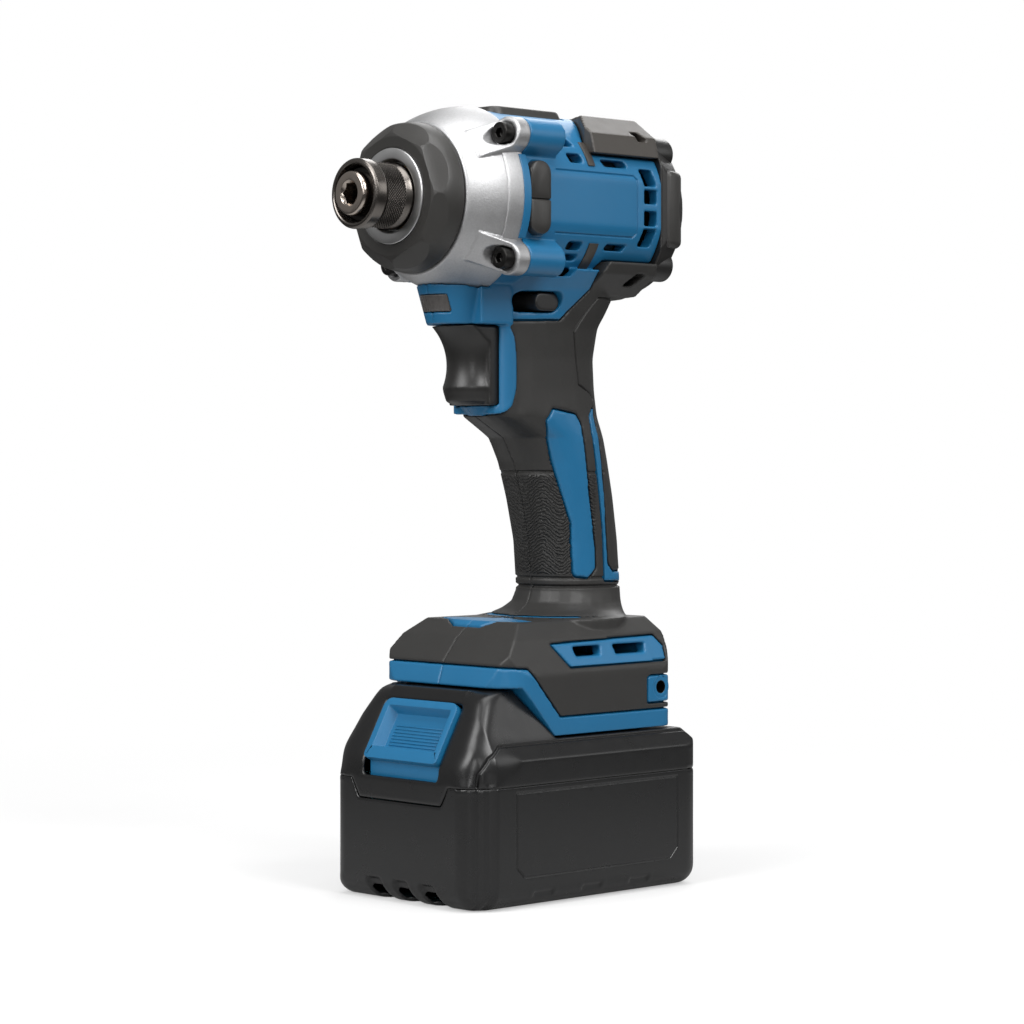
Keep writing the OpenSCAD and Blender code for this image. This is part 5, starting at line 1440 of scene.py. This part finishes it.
@dataclass
class ReleaseButton:
    """Blue tray on the slope of the battery pack that frees the pack."""

    slope_at: Point = (38.5 * MM, 0.0, 68.8 * MM)
    slope_turn: float = 60.5
    start: float = 5.0 * MM
    length: float = 21.5 * MM
    half: float = 17.5 * MM
    deep: float = 6.0 * MM
    proud: float = 0.8 * MM
    upper_corner: float = 3.2 * MM
    lower_corner: float = 1.6 * MM
    rim: float = 2.5 * MM
    rim_taper: Point = (0.9, 1.0, 1.0)
    hollow: float = 3.2 * MM
    floor_taper: Point = (0.8, 0.86, 1.0)
    ribs: int = 7
    rib_from: float = -2.4 * MM
    rib_pitch: float = 1.15 * MM
    rib_half: Pair = (0.3 * MM, 11.2 * MM)
    rib_run: Pair = (-0.5 * MM, 0.28 * MM)
    plate_low: Point = (47.5 * MM, -16.6 * MM, 37.8 * MM)
    plate_high: Point = (49.9 * MM, 16.6 * MM, 48.6 * MM)
    tongue_l: float = 14.0 * MM
    tongue_half: float = 6.0 * MM
    tongue_run: Pair = (59.08 * MM, 62.08 * MM)

    def build(self) -> None:
        """Builds the tray with its ribs, the plate below it and the latch tongue."""
        button = Bench.join("release_button", [self.tray(), *self.floor_ribs()])
        button.rotation_euler = (0.0, math.radians(self.slope_turn), 0.0)
        button.location = self.slope_at
        Bench.settle(button)
        plate = Bench.box("release_plate", self.plate_low, self.plate_high)
        Bench.soften(plate, 0.6 * MM)
        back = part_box("pack_button")[0][0]
        tongue = Bench.box("release_tongue", (back, -self.tongue_half, self.tongue_run[0]),
                           (back + self.tongue_l, self.tongue_half, self.tongue_run[1]))
        Bench.soften(tongue, 0.3 * MM, 2)
        button = Bench.join("release_button", [button, plate, tongue])
        Bench.dress(button, Finishes.BLUE, "release", "pack_button")

    @property
    def middle_x(self) -> float:
        """Middle of the tray along the slope."""
        return self.start + self.length / 2.0

    def tray(self) -> Piece:
        """Builds the tray flat, before it is turned onto the slope.

        Returns:
            The tray.
        """
        tray = Bench.box("release_tray", (self.start, -self.half, -self.deep),
                         (self.start + self.length, self.half, self.proud))
        Bench.bevel(tray, lambda a, b: upright(a, b) and a.x < self.middle_x, self.upper_corner, 6)
        Bench.bevel(tray, lambda a, b: upright(a, b) and a.x > self.middle_x, self.lower_corner, 5)
        with Bench.faces(tray, lambda middle, normal: normal.z > FACING):
            bpy.ops.mesh.inset(thickness=self.rim)
            bpy.ops.transform.resize(value=self.rim_taper, center_override=(self.start + self.rim, 0.0, 0.0))
            bpy.ops.mesh.extrude_region_move(TRANSFORM_OT_translate={"value": (0.0, 0.0, -self.hollow)})
            bpy.ops.transform.resize(value=self.floor_taper, center_override=(self.middle_x, 0.0, 0.0))
        Bench.soften(tray, 0.55 * MM, 3, 35.0)
        return tray

    def floor_ribs(self) -> list[Piece]:
        """Builds the fine ribs on the floor of the tray.

        Returns:
            One piece per rib.
        """
        made = []
        (wide, reach), floor_z = self.rib_half, self.proud - self.hollow
        for i in range(self.ribs):
            x = self.middle_x + self.rib_from + self.rib_pitch * i
            rib = Bench.box("release_rib", (x - wide, -reach, floor_z + self.rib_run[0]),
                            (x + wide, reach, floor_z + self.rib_run[1]))
            Bench.soften(rib, 0.2 * MM, 2)
            made.append(rib)
        return made


@dataclass
class GearCase:
    """Cast nose with a raised rear flange and four socket screws. Profiles are in millimetres."""

    bell_r: float = 45.0
    bell_in: float = 13.7
    bell_x: float = 22.0
    root: float = 1.2
    bands: Sequence[tuple[str, Pair, float, float, Finishes]] = (
        ("gear_case_flange", (24.6, 32.2), 0.55, 17.5 * MM, Finishes.CASTING),
        ("housing_lip", (23.6, 26.3), 0.95, 13.5 * MM, Finishes.BLUE))
    screw_edge: float = 0.4 * MM

    def build(self) -> None:
        """Builds the casting, its flange, the housing's lip and the screws."""
        Shell("gear_case", Finishes.CASTING, voxel=0.4 * MM, rounding=4, flow=20).build()
        for name, run, proud, half, finish in self.bands:
            xs = np.linspace(*run, 9)
            bell = np.sqrt(self.bell_r ** 2 - (xs - self.bell_x) ** 2) - self.bell_in
            outer = np.column_stack((xs, bell + proud)).tolist()
            inner = np.column_stack((xs, bell - self.root))[::-4].tolist()
            piece = Bench.turn(name, outer + inner, 192)
            keep_sides(piece, AXIS_Z - half, AXIS_Z + half)
            Bench.soften(piece, 0.35 * MM)
            Bench.dress(piece, finish, "tool")
        Bench.rounded("gear_case_screws", "gear_case_bolts", self.screw_edge, Finishes.OXIDE)


def keep_sides(piece: Piece, low: float, high: float) -> None:
    """Keeps of a turned ring only what lies between two heights.

    Args:
        piece: Ring to cut.
        low: Lower height.
        high: Upper height.
    """
    for place, outward in ((low, -1.0), (high, 1.0)):
        Bench.cut_away(piece, Vector((0.0, 0.0, place)), Vector((0.0, 0.0, outward)))


@dataclass
class RearCap(Shell):
    """Cap behind the motor, with a boss round each of its four screws."""

    boss_at: float = 26.7 * MM
    boss_radii: Pair = (5.5 * MM, 2.6 * MM)
    boss_depths: Pair = (10.2 * MM, 5.0 * MM)
    boss_x: float = -46.3 * MM
    bosses: int = 4

    def build(self) -> Piece:
        """Builds the cap and its bosses.

        Returns:
            The finished piece.
        """
        cap = super().build()
        for k in range(self.bosses):
            angle = math.tau * (k + 0.5) / self.bosses
            middle = (self.boss_x, self.boss_at * math.cos(angle), AXIS_Z + self.boss_at * math.sin(angle))
            boss = Bench.drilled(f"rear_cap_boss_{k}", middle, Vector((-1.0, 0.0, 0.0)), self.boss_radii,
                                 self.boss_depths, 40)
            Bench.soften(boss, 1.1 * MM, 4, 50.0)
            Bench.dress(boss, self.finish, self.body)
        return cap


@dataclass
class HookPlates:
    """Blue plate over each belt hook insert, with the screw hole in it."""

    radii: Pair = (3.9 * MM, 2.15 * MM)
    depths: Pair = (6.5 * MM, 5.5 * MM)
    proud: float = 0.06 * MM

    def build(self) -> None:
        """Builds the plate on one side and its match on the other."""
        low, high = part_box("hook_inserts")
        at_x, at_z = (low[0] + high[0]) / 2.0, (low[2] + high[2]) / 2.0
        out = high[1] + self.proud - self.depths[0] / 2.0
        for name, sign in (("hook_plate_left", 1.0), ("hook_plate_right", -1.0)):
            plate = Bench.drilled(name, (at_x, sign * out, at_z), Vector((0.0, sign, 0.0)), self.radii,
                                  self.depths, 48)
            Bench.soften(plate, 0.15 * MM, 2, 50.0)
            Bench.dress(plate, Finishes.BLUE, "tool")


@dataclass
class MotorHousing:
    """Blue clamshell of motor and handle, with its rubber covers and rear cap. Lines are in millimetres."""

    panel: Path = ((9.0, 216.6), (-27.0, 216.6), (-28.4, 218.0), (-28.4, 235.9), (-27.0, 237.2), (9.0, 237.2))
    web: Path = ((-35.5, 196.7), (-20.5, 196.7), (-11.5, 185.4), (-15.0, 167.7), (-21.7, 165.2),
                 (-24.1, 163.3))
    grip_core: Pair = (-20.0, 0.0)
    grip_rings: Sequence[tuple[Path, float, float]] = (
        (((-26.0, 138.4), (20.0, 138.8)), 0.8 * MM, 0.7 * MM),
        (((-45.0, 100.3), (20.0, 100.3)), 0.9 * MM, 0.9 * MM),
        (((-45.0, 103.2), (20.0, 103.2)), 0.7 * MM, 0.6 * MM))
    arm_radii: Pair = (28.75, 30.75)
    arm_rows: Sequence[tuple[str, float, float, float, float]] = (
        ("top_cover_arms", -6.4, -9.4, 239.4 * MM, 247.5 * MM),
        ("low_cover_arms", -7.6, -11.8, 204.6 * MM, 214.0 * MM))

    def build(self) -> None:
        """Builds both halves and everything moulded on them."""
        panel = Groove(self.panel, 0.45 * MM, 0.5 * MM)
        rings = [Groove(path, wide, deep, core=self.grip_core) for path, wide, deep in self.grip_rings]
        grip = [Groove(self.web, 0.6 * MM, 0.8 * MM), *rings]
        for side, sign in (("left", 1.0), ("right", -1.0)):
            out = (0.0, sign, 0.0)
            Shell("housing_" + side, Finishes.BLUE, side=out, grooves=[panel]).build()
            Shell("grip_cover_" + side, Finishes.GRIP, side=out, rounding=5, sharp=25.0, flow=60,
                  grooves=grip).build()
            Shell("top_cover_" + side, Finishes.COVER, voxel=0.4 * MM, rounding=5).build()
        RearCap("rear_cap", Finishes.CAP, voxel=0.42 * MM, rounding=5).build()
        self.arms()

    def arms(self) -> None:
        """Turns the short rubber arms that reach round the motor housing from its covers."""
        inner, outer = self.arm_radii
        for name, front, back, low, high in self.arm_rows:
            piece = Bench.turn(name, [(back, inner), (back, outer), (front, outer), (front, inner)], 160)
            keep_sides(piece, low, high)
            Bench.soften(piece, 0.3 * MM, 3, 35.0)
            Bench.dress(piece, Finishes.COVER, "tool")


@dataclass
class PackShell(Shell):
    """Half of the battery case, with round bottom edges and side panels that turn in at the front corners."""

    half: Point = (52.0 * MM, 36.5 * MM, 80.0 * MM)
    radius: float = 6.8 * MM
    turn_in: Point = (42.5 * MM, 47.0 * MM, 33.0 * MM)
    line: Point = (47.5 * MM, 48.2 * MM, 32.3 * MM)
    corner: Point = (46.0 * MM, 26.9 * MM, 6.0 * MM)
    old_corner: Point = (46.5 * MM, 29.4 * MM, 5.5 * MM)
    old_step: Pair = (44.7 * MM, 46.3 * MM)
    slots: Sequence[float] = ()
    slot_run: Pair = (44.0 * MM, 53.0 * MM)
    slot_half: float = 3.1 * MM
    slot_top: float = 7.3 * MM
    slot_lean: float = 4.6 * MM
    slot_deep: float = 1.1 * MM
    shoulder: int = 400
    shoulder_at: Point = (32.0 * MM, 17.6 * MM, 39.6 * MM)
    shoulder_fade: Point = (5.0 * MM, 2.5 * MM, 2.5 * MM)
    brow_in: Point = (1.0, 0.945, 0.915)
    brow_at: Pair = (40.5 * MM, 4.0 * MM)
    side_at: Pair = (20.0 * MM, 11.0 * MM)

    def block(self, inside: float) -> Piece:
        """Makes the case's rounded block, smaller by a wall on every side.

        Args:
            inside: Thickness of the wall in metres.

        Returns:
            The block.
        """
        x, y, z = (size - inside for size in self.half)
        block = Bench.box("pack_block", (-x, -y, inside), (x, y, z))
        Bench.bevel(block, lambda a, b: min(a.z, b.z) < inside + 0.1 * MM, self.radius - inside, 8)
        return block

    def trim(self, piece: Piece) -> None:
        """Rounds the bottom edges by keeping what lies in a rounded block, and deepens the front slots.

        Args:
            piece: Merged copy of the node.
        """
        Bench.combine(piece, self.block(0.0), "INTERSECT")
        for y in self.slots:
            cutter = Bench.box("pack_slot", (self.slot_run[0], y - self.slot_half, -MM),
                               (self.slot_run[1], y + self.slot_half, self.slot_top))
            with Bench.faces(cutter, lambda middle, normal: normal.z < -FACING):
                bpy.ops.transform.translate(value=(0.0, self.slot_lean, 0.0))
            Bench.combine(cutter, self.block(self.slot_deep), "DIFFERENCE")
            Bench.combine(piece, cutter, "DIFFERENCE")

    @staticmethod
    def arc(x: np.ndarray, corner: Point) -> np.ndarray:
        """Half width of the case round an upright corner, given its place, its edge and its radius."""
        place, edge, reach = corner
        return edge + np.sqrt(np.clip(reach ** 2 - (x - place) ** 2, 0.0, None))

    def shape(self, piece: Piece) -> None:
        """Rounds the shoulders over the front corners and turns the side panels in towards them.

        Args:
            piece: Remeshed shell.
        """
        points, _ = Bench.arrays(piece.data.vertices, "co")
        share = np.clip((np.abs(points) - self.shoulder_at) / np.array(self.shoulder_fade), 0.0, 1.0)
        weights = np.where(points[:, 0] > 0.0, share.prod(axis=1), 0.0)
        if weights.any():
            Bench.relax(piece, weights, self.shoulder)
        points, _ = Bench.arrays(piece.data.vertices, "co")
        x, y, z = points.T
        wide, (start, stop, turned) = self.half[1], self.turn_in
        old = np.interp(x, self.old_step, [wide, sum(self.old_corner[1:])])
        old = np.where(x > self.old_corner[0], self.arc(x, self.old_corner), old)
        new = np.interp(x, [start, stop, *self.line[:2]], [wide, turned, self.line[2], self.line[2]])
        new = np.where(x > self.line[1], self.arc(x, self.corner), new)
        brow = np.interp(x, [start, stop, self.half[0]], self.brow_in)
        high = np.clip((z - self.brow_at[0]) / self.brow_at[1], 0.0, 1.0)
        narrow = new / old * (1.0 - high) + brow * high
        side = eased((np.abs(y) - self.side_at[0]) / self.side_at[1])
        points[:, 1] = y * (1.0 - (1.0 - narrow) * side)
        Bench.move(piece, points)


@dataclass
class BatteryPack:
    """Two halves of the battery case. Lines are in millimetres."""

    label: Path = ((34.2, 13.5), (34.2, 37.0), (-40.0, 37.0), (-40.0, 13.5), (-36.5, 10.0), (30.7, 10.0))
    brow: Path = ((47.9, 38.0), (47.4, 43.9), (44.2, 48.6), (39.0, 52.0), (-46.0, 52.0))
    slots: Point = (-12.8 * MM, 0.0, 12.8 * MM)
    voxel: float = 0.5 * MM

    def build(self) -> None:
        """Builds the case and the release button."""
        label = Groove(self.label, 0.5 * MM, 0.28 * MM, closed=True, mirrored=True)
        brow = Groove(self.brow, 0.7 * MM, 0.6 * MM, mirrored=True, facing=0.62)
        PackShell("pack_tub", Finishes.PACK, "battery", self.voxel, 6, slots=self.slots,
                  grooves=[label]).build()
        PackShell("pack_cover", Finishes.PACK, "battery", self.voxel, 9, grooves=[brow]).build()
        ReleaseButton().build()


@dataclass
class Springs:
    """Coil springs, each copied from its node and dressed on the body that carries it."""

    rows: Sequence[tuple[str, str, str, int, int, float]] = (
        ("hammer_spring", "carrier", "hammer_slide", 0, 0, 0.575),
        ("sleeve_spring", "output", "sleeve_slide", 0, 1, 0.465),
        ("trigger_spring", "tool", "trigger_pull", 0, 0, 0.455),
        ("button_spring", "battery", "button_press", 2, 0, 0.7))

    def build(self) -> None:
        """Copies each coil, dresses it on its body and finds the middle of its fixed end."""
        for node, body, joint, axis, end, keep in self.rows:
            piece = Bench.copy_of(node, node + "_coil")
            Bench.smooth(piece, 50.0)
            Bench.dress(piece, Finishes.SPRING, body, node)
            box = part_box(node)
            anchor = [(low + high) / 2.0 for low, high in zip(*box)]
            anchor[axis] = box[end][axis]
            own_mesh(piece)


def dress_nodes() -> None:
    """Gives every node of the frame its procedural material."""
    for finish, names in NODE_FINISH.items():
        for name in names:
            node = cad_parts[name]
            node.data.materials.clear()
            node.data.materials.append(finish.value.material())
    missing = set(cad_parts) - {n for names in NODE_FINISH.values() for n in names}
    if missing:
        raise ValueError(f"nodes with no finish: {sorted(missing)}")


def main() -> None:
    """Builds the looks, piece by piece."""
    logging.basicConfig(level=logging.INFO, format="%(name)s: %(message)s")
    dress_nodes()
    Studio().build()
    for part in (MotorHousing(), HookPlates(), GearCase(), NoseBumper(), BitHolder(), Pads(), Controls(),
                 BatteryPack(), Springs()):
        part.build()


if __name__ == "__main__":
    main()
